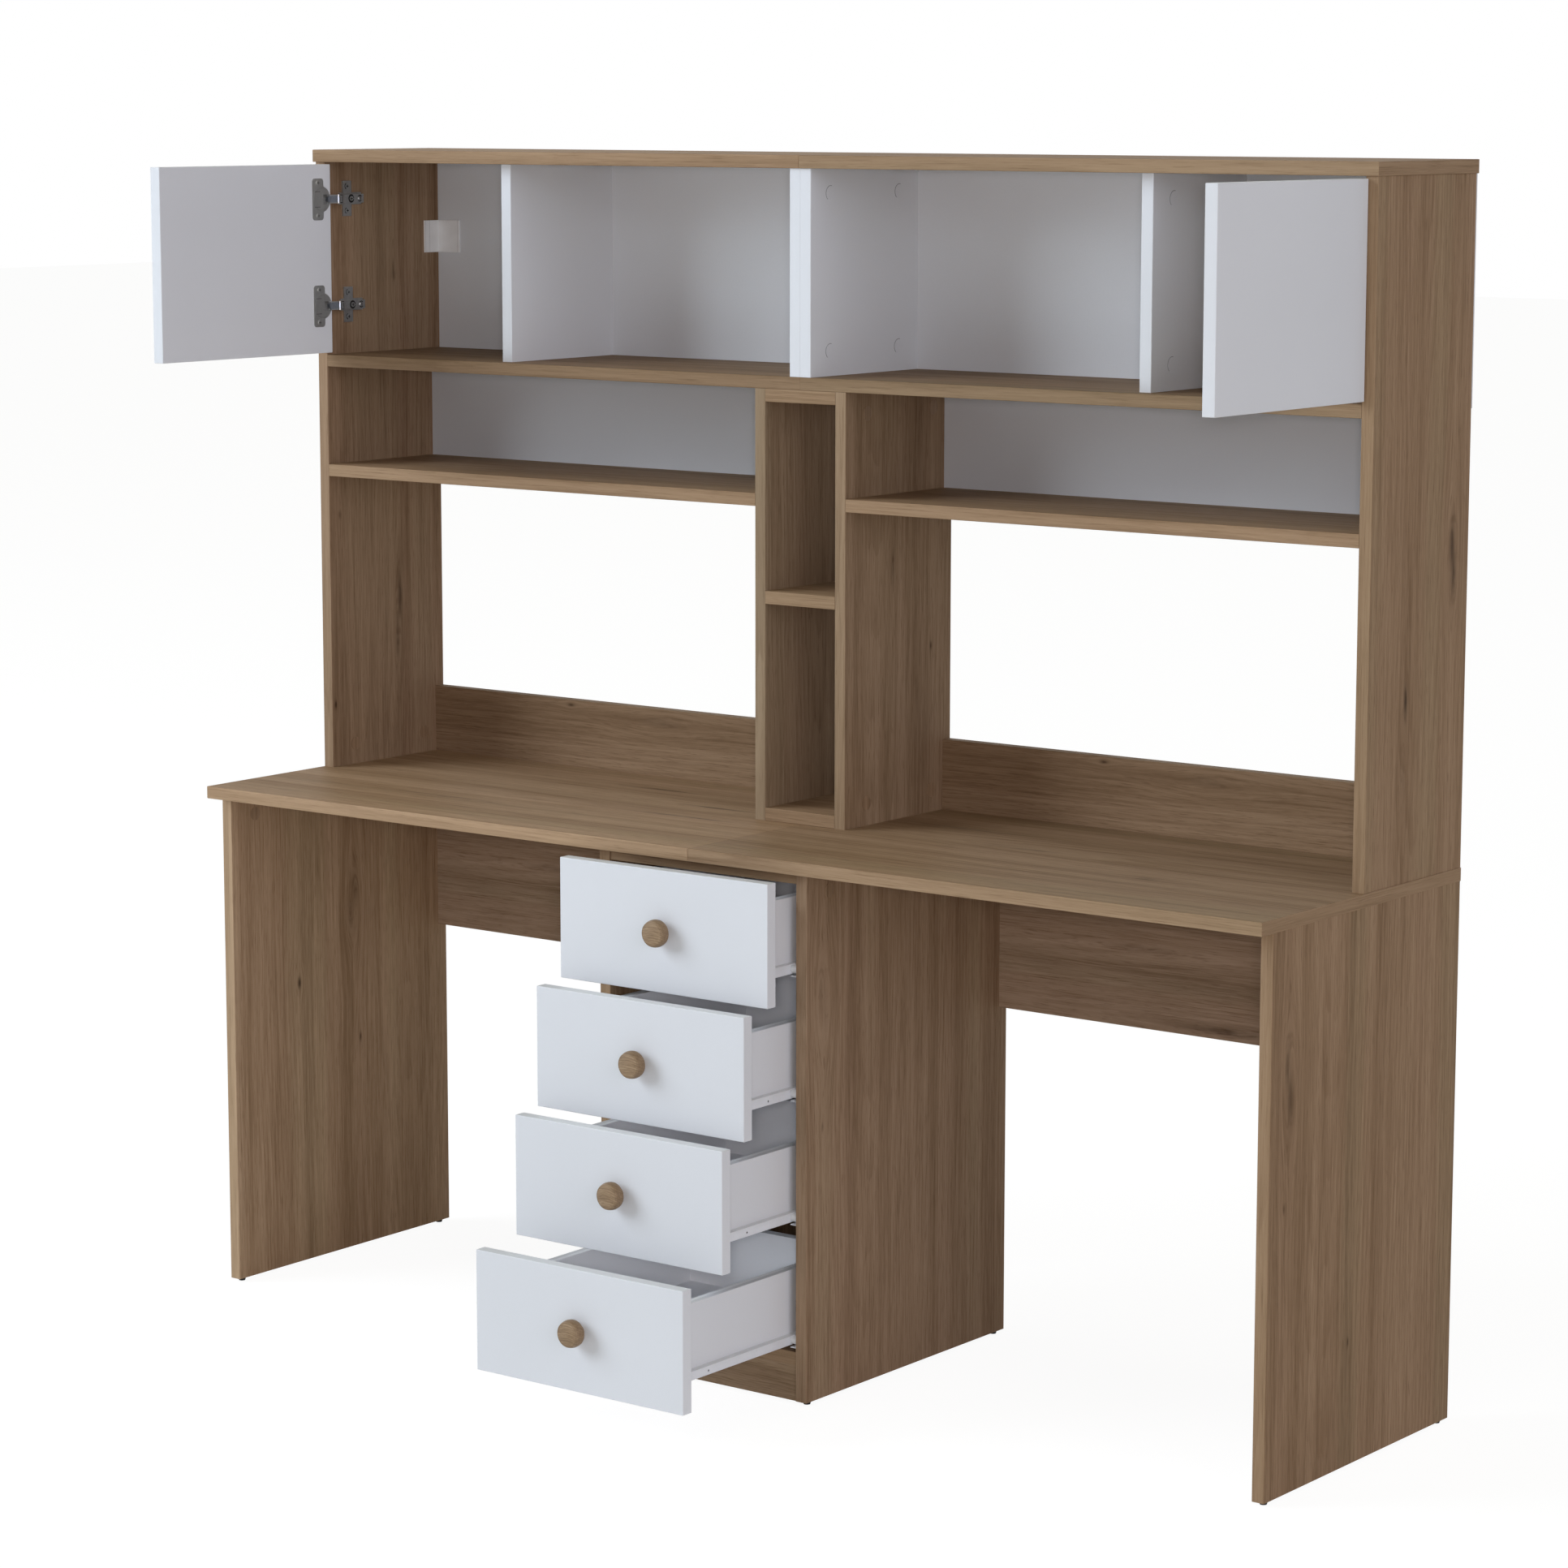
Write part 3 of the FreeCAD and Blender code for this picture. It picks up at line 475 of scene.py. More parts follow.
KNOB_RADIUS = 0.0189
KNOB_FACE_RADIUS = 0.0162
KNOB_SHADES = ((0.180, 0.112, 0.060), (0.305, 0.205, 0.117), (0.410, 0.300, 0.182))
KNOB_STOPS = (0.32, 0.52, 0.72)
KNOB_LINE = (0.120, 0.070, 0.034)
KNOB_SIDE_SHADE = (0.150, 0.092, 0.048)
KNOB_RIM_SHADE = (0.110, 0.064, 0.032)
KNOB_LINE_SHARE = 0.26
KNOB_SIDE_SHADE_SHARE = 0.42
KNOB_RIM_SHADE_SHARE = 0.35
KNOB_SWAY_GRAIN = (20.0, 45.0, 45.0)
KNOB_FIBRE_GRAIN = (90.0, 1500.0, 1500.0)
KNOB_STREAK_GRAIN = (25.0, 320.0, 320.0)
KNOB_ARCH = 9.0
KNOB_LINES_UP = 330.0
KNOB_LINES_DEEP = 120.0
KNOB_LINE_SWAY = 2.6
KNOB_LINE_STARTS = (0.30, 0.85)
KNOB_LINE_ENDS = (0.92, 1.0, 1.0, 0.0)
KNOB_SIDE_FROM = KNOB_FACE_RADIUS
KNOB_SIDE_TO = KNOB_RADIUS - 0.0004
KNOB_RIM_SHADE_STARTS = (KNOB_FACE_RADIUS - 0.0012, KNOB_FACE_RADIUS - 0.0005)
KNOB_RIM_SHADE_ENDS = (KNOB_FACE_RADIUS - 0.0002, KNOB_FACE_RADIUS + 0.0006, 1.0, 0.0)
KNOB_STREAK_SHARE = 0.55
KNOB_FIBRE_SHARE = 0.45
KNOB_STREAK_ROUGH = 0.15
KNOB_ROUGH = 0.42
KNOB_LINE_RELIEF = -0.6
KNOB_SEED_STEP = 0.37
KNOB_SEED_SHIFT = (1.0, 1.7, 0.6)
STEEL_STOPS = (0.3, 0.7)


def knob_wood(name, middle_z, back_y, seed):
    """Turned wood with arched grain, a side painted darker and a dark line at the face's edge, both painted
    shade; steel behind back_y.
    """
    f = Finish(name)
    x, y, z = f.axes
    up = f.minus(z, middle_z)
    radius = f.distance(x, up)
    arched = f.total(up, f.times(f.times(x, x), KNOB_ARCH))
    spot = f.moved(f.point(x, arched, y), tuple(seed * part for part in KNOB_SEED_SHIFT))
    sway = f.grain(spot, KNOB_SWAY_GRAIN)
    ring = f.math("FRACT", f.weighted((arched, KNOB_LINES_UP), (y, KNOB_LINES_DEEP), (sway, KNOB_LINE_SWAY)))
    lines = f.times(f.step(ring, *KNOB_LINE_STARTS), f.step(ring, *KNOB_LINE_ENDS))
    fibres = f.grain(spot, KNOB_FIBRE_GRAIN)
    streaks = f.grain(spot, KNOB_STREAK_GRAIN)
    shade = f.weighted((streaks, KNOB_STREAK_SHARE), (fibres, KNOB_FIBRE_SHARE))
    colour = f.ramp(shade, tuple(zip(KNOB_STOPS, KNOB_SHADES)))
    colour = f.blend(f.times(lines, KNOB_LINE_SHARE), colour, solid(KNOB_LINE))
    # the side is painted darker and the face's edge gets a dark line: painted shade
    side = f.step(radius, KNOB_SIDE_FROM, KNOB_SIDE_TO)
    colour = f.blend(f.times(side, KNOB_SIDE_SHADE_SHARE), colour, solid(KNOB_SIDE_SHADE))
    edge = f.times(f.step(radius, *KNOB_RIM_SHADE_STARTS), f.step(radius, *KNOB_RIM_SHADE_ENDS))
    colour = f.blend(f.times(edge, KNOB_RIM_SHADE_SHARE), colour, solid(KNOB_RIM_SHADE))
    behind = f.math("GREATER_THAN", y, back_y)
    steel = f.ramp(streaks, tuple(zip(STEEL_STOPS, (STEEL_LOW, STEEL_HIGH))))
    colour = f.blend(behind, colour, steel)
    f.put(f.shader.inputs["Metallic"], behind)
    roughness = f.total(f.times(streaks, KNOB_STREAK_ROUGH), KNOB_ROUGH)
    height = f.total(fibres, f.times(lines, KNOB_LINE_RELIEF))
    return f.finish(colour, roughness, height, bump=0.15, distance=0.0003, Specular_IOR_Level=0.3)


CUPBOARD_FLOOR = 1.372
CAP_PALE = ((0.3, (0.70, 0.71, 0.73)), (0.7, (0.76, 0.77, 0.79)))
CAP_BROWN = ((0.3, OAK_DARK), (0.55, OAK_MID), (0.8, OAK_LIGHT))
CAP_BROWN_GRAIN = (300.0, 300.0, 5.0)
CAP_SPECKS = 1200.0
CAP_SPECK_ROUGH = 0.1
CAP_ROUGH = 0.38


def cam_cap(name):
    """Caps that match their boards: pale in the cupboards and brown below them."""
    f = Finish(name)
    high_up = f.math("GREATER_THAN", f.axes[2], CUPBOARD_FLOOR)
    speck = f.noise(f.place, CAP_SPECKS, 2.0)
    brown = f.ramp(f.grain(f.place, CAP_BROWN_GRAIN), CAP_BROWN)
    colour = f.blend(high_up, brown, f.ramp(speck, CAP_PALE))
    roughness = f.total(f.times(speck, CAP_SPECK_ROUGH), CAP_ROUGH)
    return f.finish(colour, roughness, speck, bump=0.04, distance=0.0002)


def dress(node, material):
    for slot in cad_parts[node].material_slots:
        slot.material = material


# main face, grain direction, where the pith lies (across, depth, taper along), and tone, which paints each
# board lighter or darker for the light and shade on it
OAK_BOARDS = {
    "desk_top_left": ("Z", "X", (0.10, -0.715, 0.030), 1.24),
    "desk_top_right": ("Z", "X", (0.16, -0.700, -0.025), 1.05),
    "hutch_top_left": ("Z", "X", (0.20, -1.630, 0.030), 1.12),
    "hutch_top_right": ("Z", "X", (0.30, -1.640, -0.020), 1.00),
    "cupboard_floor_left": ("Z", "X", (0.22, -1.340, 0.030), 0.90),
    "cupboard_floor_right": ("Z", "X", (0.28, -1.345, -0.020), 0.90),
    "open_shelves": ("Z", "X", (0.25, -1.180, 0.030), 1.10),
    "tower_boards": ("Z", "X", (0.25, -1.0, 0.030), 1.04),
    "pedestal_top_board": ("Z", "X", (0.10, -0.70, 0.030), 1.0),
    "pedestal_bottom_board": ("Z", "X", (0.10, -0.04, 0.030), 1.0),
    "leg_panel_left": ("X", "Z", (0.285, 0.950, -0.070), 1.34),
    "leg_panel_right": ("X", "Z", (0.056, -0.835, -0.070), 1.06),
    "pedestal_side_left": ("X", "Z", (0.20, 0.235, -0.060), 1.04),
    "pedestal_side_right": ("X", "Z", (0.056, -0.115, -0.070), 1.17),
    "hutch_side_left": ("X", "Z", (0.245, 0.955, -0.050), 1.05),
    "hutch_side_right": ("X", "Z", (0.255, -0.800, -0.060), 1.04),
    "tower_side_left": ("X", "Z", (0.25, 0.130, -0.050), 1.02),
    "tower_side_right": ("X", "Z", (0.20, 0.020, -0.060), 1.08),
    "modesty_panels": ("Y", "X", (0.60, -0.330, 0.030), 1.36),
    "splash_rails": ("Y", "X", (0.83, -0.335, 0.040), 0.97),
    "pedestal_plinth": ("Y", "X", (0.03, 0.10, 0.030), 1.10),
}
# from the left board of a pair to the right one, which has the same decor
REPEATS = {"splash_rails": 0.9585, "open_shelves": 0.9585, "modesty_panels": 1.059}
# along, across, half length, half width, strength
KNOTS = {
    "leg_panel_left": ((0.434, 0.047, 0.008, 0.0036, 0.55), (0.560, 0.172, 0.030, 0.006, 0.22),
                       (0.520, 0.162, 0.026, 0.007, 0.24), (0.330, 0.180, 0.008, 0.0025, 0.55)),
    "leg_panel_right": ((0.560, -0.050, 0.034, 0.007, 0.28), (0.515, -0.044, 0.030, 0.006, 0.28),
                        (0.378, -0.055, 0.006, 0.0022, 0.60), (0.170, 0.110, 0.006, 0.0022, 0.45)),
    "pedestal_side_right": ((0.575, -0.058, 0.032, 0.007, 0.28), (0.535, -0.050, 0.030, 0.006, 0.26),
                            (0.380, -0.056, 0.006, 0.0022, 0.60)),
    "hutch_side_left": ((1.132, 0.151, 0.006, 0.0022, 0.70), (0.846, 0.136, 0.006, 0.0022, 0.75),
                        (1.000, 0.282, 0.030, 0.004, 0.40), (0.935, 0.276, 0.030, 0.003, 0.35),
                        (1.490, 0.276, 0.016, 0.0022, 0.75)),
    "hutch_side_right": ((1.180, 0.336, 0.034, 0.006, 0.45), (1.140, 0.342, 0.024, 0.005, 0.45),
                         (0.990, 0.224, 0.020, 0.004, 0.55), (0.890, 0.220, 0.024, 0.004, 0.50)),
    "tower_side_right": ((0.989, 0.331, 0.006, 0.0022, 0.60), (1.110, 0.240, 0.030, 0.004, 0.35)),
    "desk_top_left": ((-0.160, 0.085, 0.080, 0.005, 0.55), (-0.190, 0.172, 0.060, 0.004, 0.50),
                      (-0.350, 0.257, 0.050, 0.005, 0.40), (-0.560, 0.020, 0.060, 0.004, 0.35)),
    "desk_top_right": ((0.619, 0.054, 0.014, 0.0055, 0.75), (0.350, 0.150, 0.060, 0.005, 0.45),
                       (0.230, 0.240, 0.080, 0.004, 0.45)),
    "splash_rails": ((-0.608, 0.844, 0.006, 0.0026, 0.50), (-0.436, 0.832, 0.030, 0.007, 0.24)),
    "modesty_panels": ((-0.500, 0.490, 0.060, 0.006, 0.42), (-0.640, 0.590, 0.060, 0.004, 0.22)),
}
# the two desk tops are cut from one sheet
SEEDS = {"desk_top_right": 1}
# colour casts that offset the warmer bounced light on these shaded boards: painted light
TINTS = {
    "modesty_panels": (0.96, 1.02, 1.18),
    "pedestal_side_right": (0.98, 1.01, 1.08),
    "leg_panel_left": (0.985, 1.015, 1.05),
    "tower_side_left": (0.97, 1.03, 1.10),
    "tower_side_right": (0.98, 1.03, 1.07),
    "hutch_side_left": (1.0, 1.0, 1.05),
    "pedestal_plinth": (0.96, 1.03, 1.08),
}

for number, (node, (main, grain, pith, tone)) in enumerate(OAK_BOARDS.items()):
    seed = SEEDS.get(node, number + 1)
    dress(node, oak("oak_" + node, main, grain, seed, pith, KNOTS.get(node, ()), REPEATS.get(node, 0.0),
                    tone, TINTS.get(node, NO_TINT)))

KNOB_SCREW_HEAD = 0.0026
# faces inside the drawer boxes are drawn lighter than the white board: painted light
BOX_INSIDE_REACH = 0.140
BOX_INSIDE_PAINTED_LIGHT = 1.24
# the shelf backs are drawn darker than the other white boards: painted shade deep in the open shelves
SHELF_BACK_PAINTED_SHADE = 0.84

white = melamine("white_melamine", 1)
box_white = melamine("drawer_box_melamine", 2, BOX_INSIDE_REACH, BOX_INSIDE_PAINTED_LIGHT)
for node in ("cupboard_dividers", "door_left", "door_right"):
    dress(node, white)
dress("shelf_backs", melamine("shelf_back_melamine", 3, tone=SHELF_BACK_PAINTED_SHADE))
thin = hardboard("white_hardboard")
for node in ("cupboard_backs", "pedestal_back"):
    dress(node, thin)
dress("hinge_arms", metal("hinge_plate_metal", (0.44, 0.435, 0.43), (0.62, 0.61, 0.60), 0.32))
flange = metal("hinge_flange_metal", (0.40, 0.395, 0.385), (0.48, 0.475, 0.46), 0.42)
link = link_metal("hinge_link_metal")
for side in SIDES:
    dress("hinge_cups_" + side, flange)
    dress("hinge_links_" + side, link)
enamel = plastic("runner_enamel", (0.72, 0.73, 0.75), (0.78, 0.79, 0.81), 0.30)
nylon = plastic("roller_nylon", (0.70, 0.70, 0.69), (0.80, 0.80, 0.79), 0.34)
dress("cabinet_runners", enamel)
for drawer in DRAWERS:
    low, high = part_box("drawer_knob_" + drawer)
    dress("drawer_front_" + drawer, white)
    dress("drawer_box_" + drawer, box_white)
    dress("drawer_knob_" + drawer, knob_wood("knob_wood_" + drawer, (low[2] + high[2]) / 2,
                                             high[1] - KNOB_SCREW_HEAD, int(drawer) * KNOB_SEED_STEP))
    dress("drawer_runners_" + drawer, enamel)
    dress("drawer_rollers_" + drawer, nylon)
    dress("cabinet_rollers_" + drawer, nylon)
dress("glide_feet", plastic("foot_plastic", (0.004, 0.004, 0.004), (0.010, 0.010, 0.011), 0.55,
                            Specular_IOR_Level=0.2))
dress("wall_brackets", bracket_plastic("bracket_plastic"))
dress("cam_fittings", cam_cap("cam_cap"))

# Small fittings on the hinges, runners, cam caps and thin backs, and dark marks that are painted shade.
# Lengths in this part are in millimetres.

HUTCH_FACE = 880.5
DOOR_FACE = 867.5
BOX_FACE = 148.0

MARK_SINK = 0.2
MARK_BEVEL = 0.05
SCREW_RISE = 0.06
RECESS_RISE = 0.08
RING_RISE = 0.10
CROSS_REACH = 2.3
CROSS_HALF = 0.55

# cup on the door: distances along the depth of the desk, and to both sides of the hinge's middle
CUP_MIDDLE = 106.0
COVER_RADIUS = 16.4
COVER_FOOT = 0.2
COVER_TOP = 1.3
COVER_SLOT = 7.0
COVER_SLOT_START = 109.5
CUP_GROOVE_FROM = 92.0
CUP_GROOVE_TO = 103.0
CUP_GROOVE_SPAN = (10.8, 11.7)
FLANGE_SCREW = 98.75
FLANGE_SCREW_ASIDE = 24.0
FLANGE_SCREW_TOP = 2.2

# plate and arm on the side of the hutch
PLATE_SCREW = 173.5
PLATE_SCREW_ASIDE = 18.0
PLATE_SCREW_TOP = 3.7
PLATE_TOP = 2.5
PLATE_ARC = (3.7, 5.0, 110.0, 250.0)
ARM_TOP = 11.0
ARM_SCREW = 173.5
ARM_SCREW_RING = (3.6, 6.2, 1.0, 359.0)
ARM_SCREW_TOP = 12.2
ARM_END_SCREW = 192.5
ARM_END_SLOT = (0.6, 3.2)
ARM_END_RADII = (3.7, 5.0)
ARM_END_ARCHES = {-1.0: (215.0, 325.0), 1.0: (35.0, 145.0)}
KNUCKLE_TOP = 18.0
KNUCKLE_FROM = 142.2
KNUCKLE_TO = 147.4
KNUCKLE_SPAN = (5.0, 6.2)
KNUCKLE_LINE = (145.9, 147.1, -4.2, 4.2)

RUNNER_HOLES = (72.5, 327.5)
RUNNER_HOLE_LIFT = 16.0 / 3.0
RUNNER_SCREW_RADIUS = 1.55
RUNNER_SCREW_HEIGHTS = (-0.1, 0.5)
RUNNER_SCREW_BEVEL = 0.1
# distance of a divider's face from the middle, and the caps' places along its depth
CAP_ROWS = {18.0: (173.5, 333.5), 555.0: (199.5, 333.5)}
CAP_HEIGHTS = (1406.0, 1621.0)
# radii and arc of a dark crescent beside each cap: painted shadow in the gap round the cap
CAP_RIM_SHADOW = (10.0, 10.9, 75.0, 235.0)
CAP_RIM_SHADOW_HEIGHTS = (-0.1, 0.15)
# thin backs, and how many panels each has side by side
NAILED_BACKS = {"cupboard_backs": 2, "pedestal_back": 1}
NAIL_INSET = 8.0
NAIL_SPACING = 150.0
NAIL_RADIUS = 1.6
NAIL_HEIGHTS = (-0.2, 0.35)
NAIL_BEVEL = 0.15


def circle(u, v, radius, start=0.0, end=360.0, count=40):
    angles = [math.radians(start + (end - start) * step / count) for step in range(count)]
    return [(u + radius * math.cos(angle), v + radius * math.sin(angle)) for angle in angles]


def band(u, v, inner, outer, start, end, count=32):
    return circle(u, v, outer, start, end, count) + circle(u, v, inner, start, end, count)[::-1]


def rectangle(u_from, u_to, v_from, v_to):
    return [(u_from, v_from), (u_to, v_from), (u_to, v_to), (u_from, v_to)]


def cross(u, v):
    corner = [(CROSS_REACH, -CROSS_HALF), (CROSS_REACH, CROSS_HALF), (CROSS_HALF, CROSS_HALF)]
    turns = [(1, 0), (0, 1), (-1, 0), (0, -1)]
    return [(u + a * c - b * s, v + a * s + b * c) for c, s in turns for a, b in corner]


def beside(span, way):
    """A span on one side of the middle, from its lower end to its upper end."""
    return sorted(way * place for place in span)


def slab(shape, outline, low, high, place, bevel=0.12):
    """Adds a flat piece with eased top edges: an outline, thickened from low to high."""
    rings = [[shape.verts.new(place(u, v, height)) for u, v in outline] for height in (low, high)]
    shape.faces.new(rings[0])
    top = shape.faces.new(rings[1])
    for first in range(len(outline)):
        second = (first + 1) % len(outline)
        shape.faces.new((rings[0][first], rings[0][second], rings[1][second], rings[1][first]))
    bmesh.ops.bevel(shape, geom=list(top.edges), offset=bevel * MM, segments=2, profile=0.5, affect="EDGES")


def mark(shape, outline, top, place, rise=SCREW_RISE):
    """Adds a thin mark to a surface at the height top."""
    slab(shape, outline, top - MARK_SINK, top + rise, place, MARK_BEVEL)


def piece(name, shape, body, material):
    bmesh.ops.recalc_face_normals(shape, faces=shape.faces)
    mesh = bpy.data.meshes.new(name)
    shape.to_mesh(mesh)
    shape.free()
    mesh.materials.append(material)
    made = bpy.data.objects.new(name, mesh)
    bpy.context.collection.objects.link(made)
    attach(made, body)


def raised(side, face, middle_z, outward=-1.0):
    """Turns places on an upright face of the left or right side into points of the frame."""
    def place(u, v, height):
        return Vector((side * (face + outward * height), u, middle_z + v)) * MM
    return place


def on_outside(face):
    """Turns places on the outside of a thin back into points of the frame."""
    def place(u, v, height):
        return Vector((u, face + height, v)) * MM
    return place


def hinge_cover(shape, place):
    turn = math.degrees(math.asin(COVER_SLOT / COVER_RADIUS))
    arc = circle(CUP_MIDDLE, 0.0, COVER_RADIUS, turn, 360.0 - turn, 48)
    arc.append((arc[0][0], -COVER_SLOT))
    outline = arc + [(COVER_SLOT_START, -COVER_SLOT), (COVER_SLOT_START, COVER_SLOT)]
    slab(shape, outline, COVER_FOOT, COVER_TOP, place)


# dark strips over the pressed grooves and dark crosses on the flange screws: painted shade
def hinge_door_marks(shape, place):
    for way in BOTH_WAYS:
        line = rectangle(CUP_GROOVE_FROM, CUP_GROOVE_TO, *beside(CUP_GROOVE_SPAN, way))
        mark(shape, line, COVER_TOP, place)
        mark(shape, cross(FLANGE_SCREW, way * FLANGE_SCREW_ASIDE), FLANGE_SCREW_TOP, place)


# near-black marks for screw recesses, crescents, slots and the knuckle gap: painted shade
def hinge_plate_marks(shape, place):
    for way in BOTH_WAYS:
        aside = way * PLATE_SCREW_ASIDE
        mark(shape, cross(PLATE_SCREW, aside), PLATE_SCREW_TOP, place)
        mark(shape, band(PLATE_SCREW, aside, *PLATE_ARC), PLATE_TOP, place, RECESS_RISE)
        edge = rectangle(KNUCKLE_FROM, KNUCKLE_TO, *beside(KNUCKLE_SPAN, way))
        mark(shape, edge, KNUCKLE_TOP, place, RECESS_RISE)
        arch = band(ARM_END_SCREW, 0.0, *ARM_END_RADII, *ARM_END_ARCHES[way])
        mark(shape, arch, ARM_TOP, place, RECESS_RISE)
    mark(shape, rectangle(*KNUCKLE_LINE), KNUCKLE_TOP, place, RECESS_RISE)
    mark(shape, band(ARM_SCREW, 0.0, *ARM_SCREW_RING, 48), ARM_TOP, place, RING_RISE)
    mark(shape, cross(ARM_SCREW, 0.0), ARM_SCREW_TOP, place)
    half, reach = ARM_END_SLOT
    mark(shape, rectangle(ARM_END_SCREW - half, ARM_END_SCREW + half, -reach, reach), ARM_SCREW_TOP, place)


def spread(start, end):
    """Evenly spaced places from start to end, about a nail's spacing apart."""
    count = max(1, round((end - start) / NAIL_SPACING))
    return [start + (end - start) * step / count for step in range(count + 1)]


def nail_places(left, right, bottom, top):
    """Places for nails round the border of a thin back."""
    across = spread(left + NAIL_INSET, right - NAIL_INSET)
    along = spread(bottom + NAIL_INSET, top - NAIL_INSET)[1:-1]
    level = [(x, z) for x in across for z in (bottom + NAIL_INSET, top - NAIL_INSET)]
    return level + [(x, z) for x in (across[0], across[-1]) for z in along]


# dark marks for the grooves and screw recesses on the flanges: painted shade
groove = metal("hinge_groove_shade", (0.14, 0.138, 0.134), (0.22, 0.216, 0.21), 0.45)
# near-black marks on the hinge plates and runner screws: painted shade
recess_shade = metal("hinge_recess_shade", (0.025, 0.024, 0.024), (0.055, 0.053, 0.052), 0.50)
plate_marks = bmesh.new()
for side, sign in SIDES.items():
    covers, door_marks = bmesh.new(), bmesh.new()
    for height in HINGE_HEIGHTS:
        on_door = raised(sign, DOOR_FACE, height)
        hinge_cover(covers, on_door)
        hinge_door_marks(door_marks, on_door)
        hinge_plate_marks(plate_marks, raised(sign, HUTCH_FACE, height))
    piece("hinge_covers_" + side, covers, side + "_door", flange)
    piece("hinge_door_marks_" + side, door_marks, side + "_door", groove)
piece("hinge_plate_marks", plate_marks, "carcass", recess_shade)

# the runner screw heads are real, and their near-black colour is painted shade in the holes
for drawer in DRAWERS:
    low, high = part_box("drawer_runners_" + drawer)
    screws = bmesh.new()
    for sign in SIDES.values():
        on_box = raised(sign, BOX_FACE, low[2] / MM + RUNNER_HOLE_LIFT, 1.0)
        for distance in RUNNER_HOLES:
            head = circle(low[1] / MM + distance, 0.0, RUNNER_SCREW_RADIUS, count=24)
            slab(screws, head, *RUNNER_SCREW_HEIGHTS, on_box, RUNNER_SCREW_BEVEL)
    piece("runner_screws_" + drawer, screws, "drawer_" + drawer, recess_shade)

# dark crescents beside the cam caps: painted shadow
cap_rim_shadows = bmesh.new()
for sign in SIDES.values():
    for face, rows in CAP_ROWS.items():
        for height in CAP_HEIGHTS:
            on_divider = raised(sign, face, height, 1.0)
            for row in rows:
                slab(cap_rim_shadows, band(row, 0.0, *CAP_RIM_SHADOW), *CAP_RIM_SHADOW_HEIGHTS, on_divider, MARK_BEVEL)
rim_shadow = plastic("cap_rim_shadow", (0.26, 0.26, 0.27), (0.36, 0.36, 0.37), 0.5)
piece("cam_cap_rim_shadows", cap_rim_shadows, "carcass", rim_shadow)

nails = bmesh.new()
for node, panels in NAILED_BACKS.items():
    low, high = [Vector(corner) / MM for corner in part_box(node)]
    width = (high.x - low.x) / panels
    on_back = on_outside(high.y)
    for panel in range(panels):
        left = low.x + panel * width
        for x, z in nail_places(left, left + width, low.z, high.z):
            slab(nails, circle(x, z, NAIL_RADIUS, count=20), *NAIL_HEIGHTS, on_back, NAIL_BEVEL)
piece("back_nails", nails, "carcass", metal("nail_steel", STEEL_LOW, STEEL_HIGH, 0.34))

# Studio: a pale floor, a soft key lamp from the front left with weaker fills, and a white surround.
# The white of the floor and the surround shows to the camera and in reflections, and doesn't light the desk.

AMBIENT = (0.010, 0.010, 0.010, 1.0)
SURROUND = (1.0, 1.0, 1.0, 1.0)
FLOOR_HALF = 30.0
FLOOR_BOUNCE = (0.9, 0.9, 0.9, 1.0)
FLOOR_SHADOW = (0.16, 0.16, 0.16, 1.0)
FLOOR_GLOW = 0.93
CENTRE = Vector((0.0, 0.0, 0.9))
LAMP_DISTANCE = 10.0


def seen_directly(tree):
    path = tree.nodes.new("ShaderNodeLightPath")
    seen = path.outputs["Is Camera Ray"]
    for ray in ("Is Glossy Ray", "Is Transmission Ray"):
        either = tree.nodes.new("ShaderNodeMath")
        either.operation = "MAXIMUM"
        tree.links.new(seen, either.inputs[0])
        tree.links.new(path.outputs[ray], either.inputs[1])
        seen = either.outputs[0]
    return seen


def show(tree, hidden, shown, output):
    """Joins two shaders: one lights the scene, and the other is what is seen directly."""
    either = tree.nodes.new("ShaderNodeMixShader")
    tree.links.new(seen_directly(tree), either.inputs[0])
    tree.links.new(hidden.outputs[0], either.inputs[1])
    tree.links.new(shown.outputs[0], either.inputs[2])
    tree.links.new(either.outputs[0], tree.nodes[output].inputs["Surface"])


world = bpy.data.worlds.new("studio")
world.use_nodes = True
bpy.context.scene.world = world
tree = world.node_tree
around = tree.nodes["Background"]
around.inputs["Color"].default_value = AMBIENT
surround = tree.nodes.new("ShaderNodeBackground")
surround.inputs["Color"].default_value = SURROUND
show(tree, around, surround, "World Output")

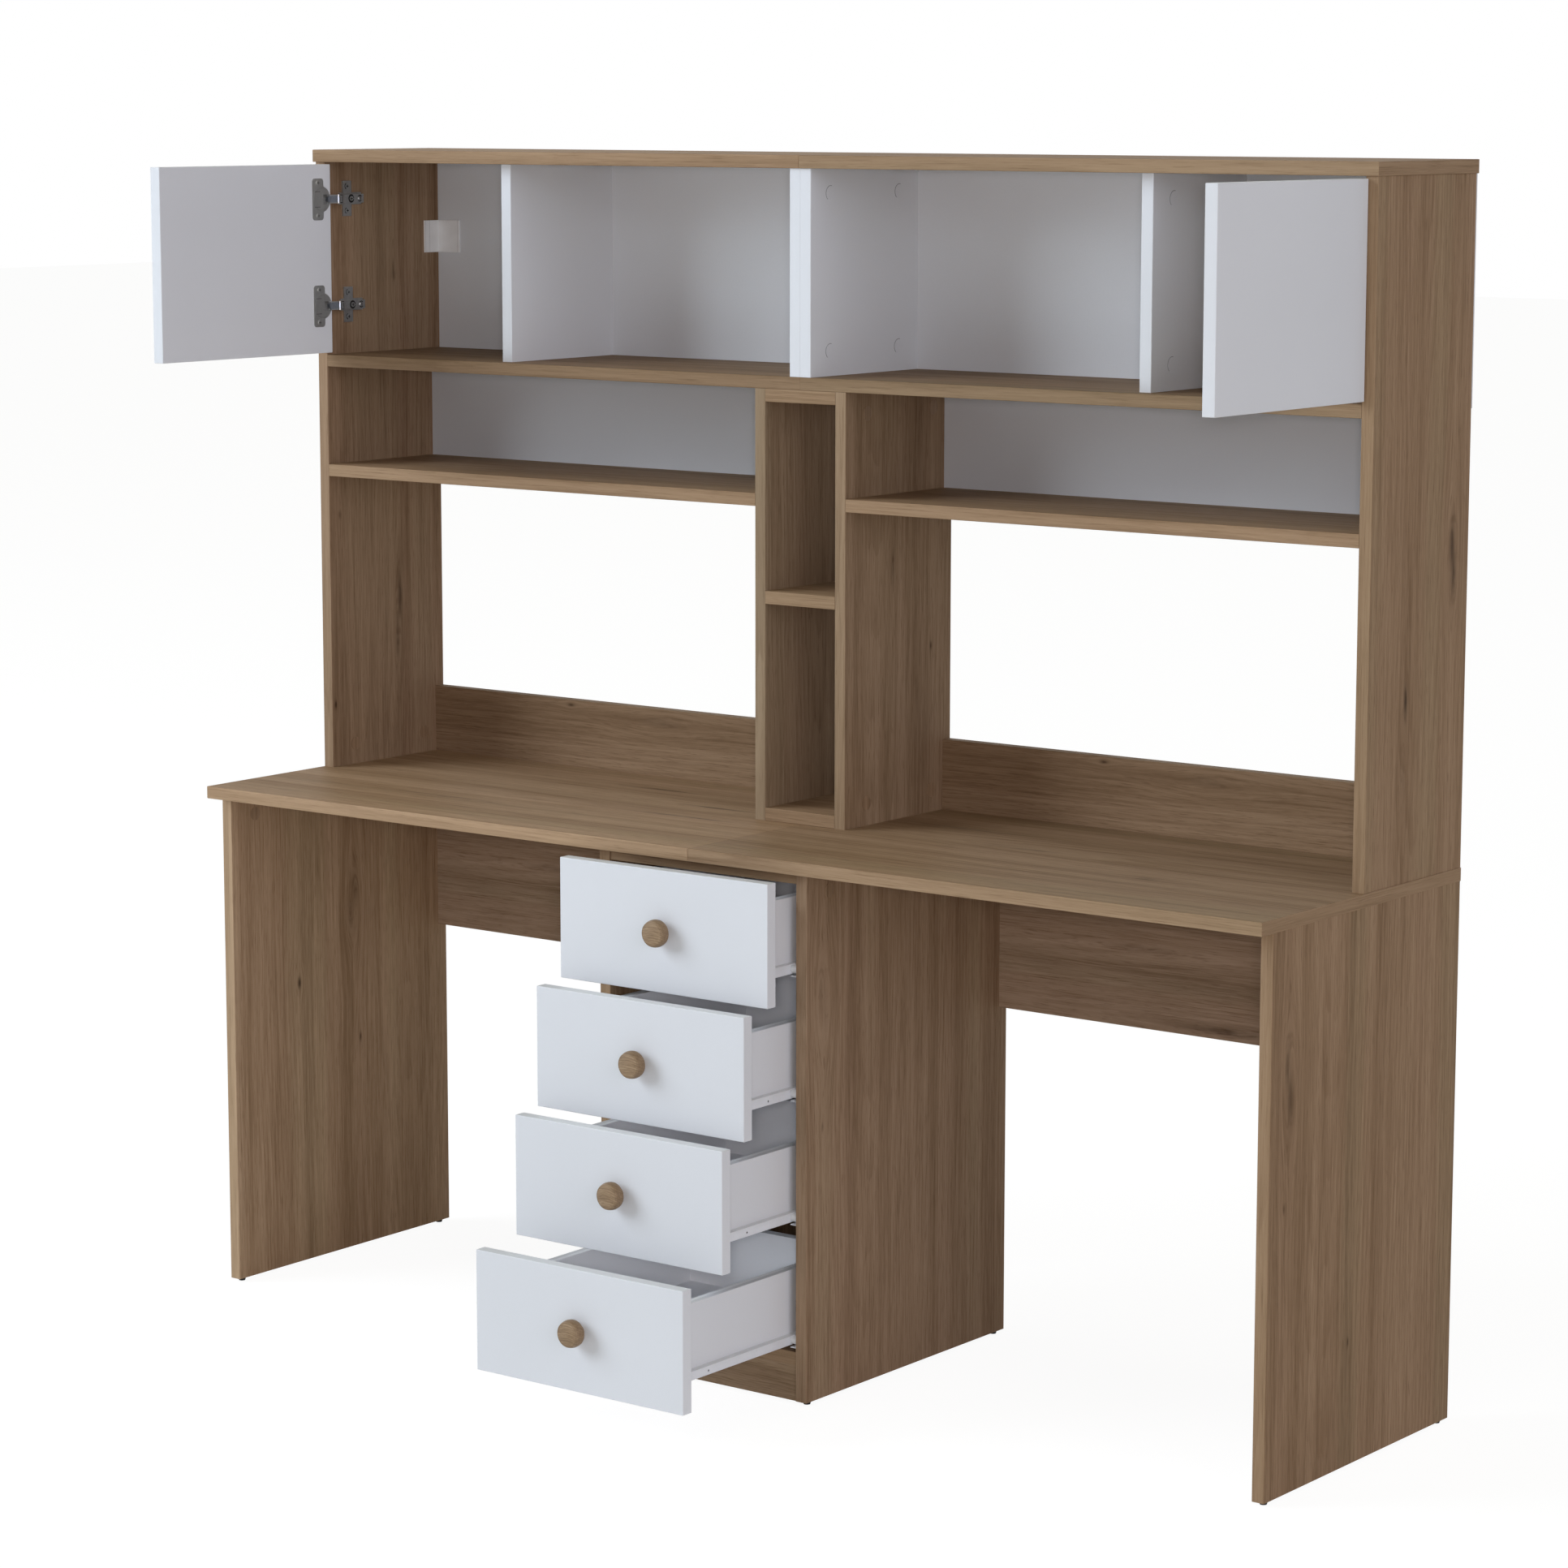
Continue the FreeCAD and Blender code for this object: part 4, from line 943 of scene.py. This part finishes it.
floor_mesh = bpy.data.meshes.new("studio_floor")
shape = bmesh.new()
bmesh.ops.create_grid(shape, x_segments=4, y_segments=4, size=FLOOR_HALF)
shape.to_mesh(floor_mesh)
shape.free()
floor = bpy.data.objects.new("studio_floor", floor_mesh)
bpy.context.collection.objects.link(floor)
paint = bpy.data.materials.new("studio_floor_paint")
paint.use_nodes = True
tree = paint.node_tree
tree.nodes.remove(tree.nodes["Principled BSDF"])
matt = tree.nodes.new("ShaderNodeBsdfDiffuse")
matt.inputs["Color"].default_value = FLOOR_BOUNCE
pale = tree.nodes.new("ShaderNodeBsdfDiffuse")
pale.inputs["Color"].default_value = FLOOR_SHADOW
glow = tree.nodes.new("ShaderNodeEmission")
glow.inputs["Strength"].default_value = FLOOR_GLOW
lifted = tree.nodes.new("ShaderNodeAddShader")
tree.links.new(pale.outputs[0], lifted.inputs[0])
tree.links.new(glow.outputs[0], lifted.inputs[1])
show(tree, matt, lifted, "Material Output")
floor_mesh.materials.append(paint)


def shine(name, kind, direction, strength, colour, width, distance=LAMP_DISTANCE):
    """A lamp that shines on the object's middle from a direction, as wide as that many degrees."""
    light = bpy.data.lights.new(name, kind)
    light.color = colour
    lamp = bpy.data.objects.new(name, light)
    lamp.rotation_euler = Vector(direction).to_track_quat("Z", "Y").to_euler()
    if kind == "SUN":
        light.energy = strength
        light.angle = math.radians(width)
    else:
        light.shape = "DISK"
        light.size = 2.0 * distance * math.tan(math.radians(width / 2.0))
        light.energy = strength * math.pi * distance ** 2
        lamp.location = CENTRE + distance * Vector(direction).normalized()
    bpy.context.collection.objects.link(lamp)


shine("key", "AREA", (-0.72, -0.57, 0.40), 2.33, (0.90, 1.0, 1.115), 38.0)
shine("camera_side", "AREA", (3.717, -4.783, 0.859), 0.47, (1.10, 1.0, 1.01), 4.0, 6.118)
shine("front_fill", "SUN", (0.59, -0.76, 0.25), 0.11, (0.84, 1.0, 1.07), 12.0)
shine("right_fill", "SUN", (0.92, -0.30, 0.25), 0.97, (1.0, 0.99, 1.12), 50.0)
shine("top_fill", "SUN", (0.0, -0.15, 1.0), 0.36, (1.03, 1.0, 0.60), 50.0)
shine("back_fill", "SUN", (0.0, 0.98, 0.18), 0.80, (1.0, 1.0, 1.03), 20.0)

camera = bpy.data.cameras.new("camera")
camera.lens = 103.183
camera.sensor_width = 36.0
camera.clip_end = 100.0
eye = bpy.data.objects.new("camera", camera)
eye.location = (3.71733, -4.78327, 1.75868)
eye.rotation_euler = (1.41783, -0.00046, 0.65144)
bpy.context.collection.objects.link(eye)
bpy.context.scene.camera = eye
bpy.context.scene.view_settings.view_transform = "Standard"
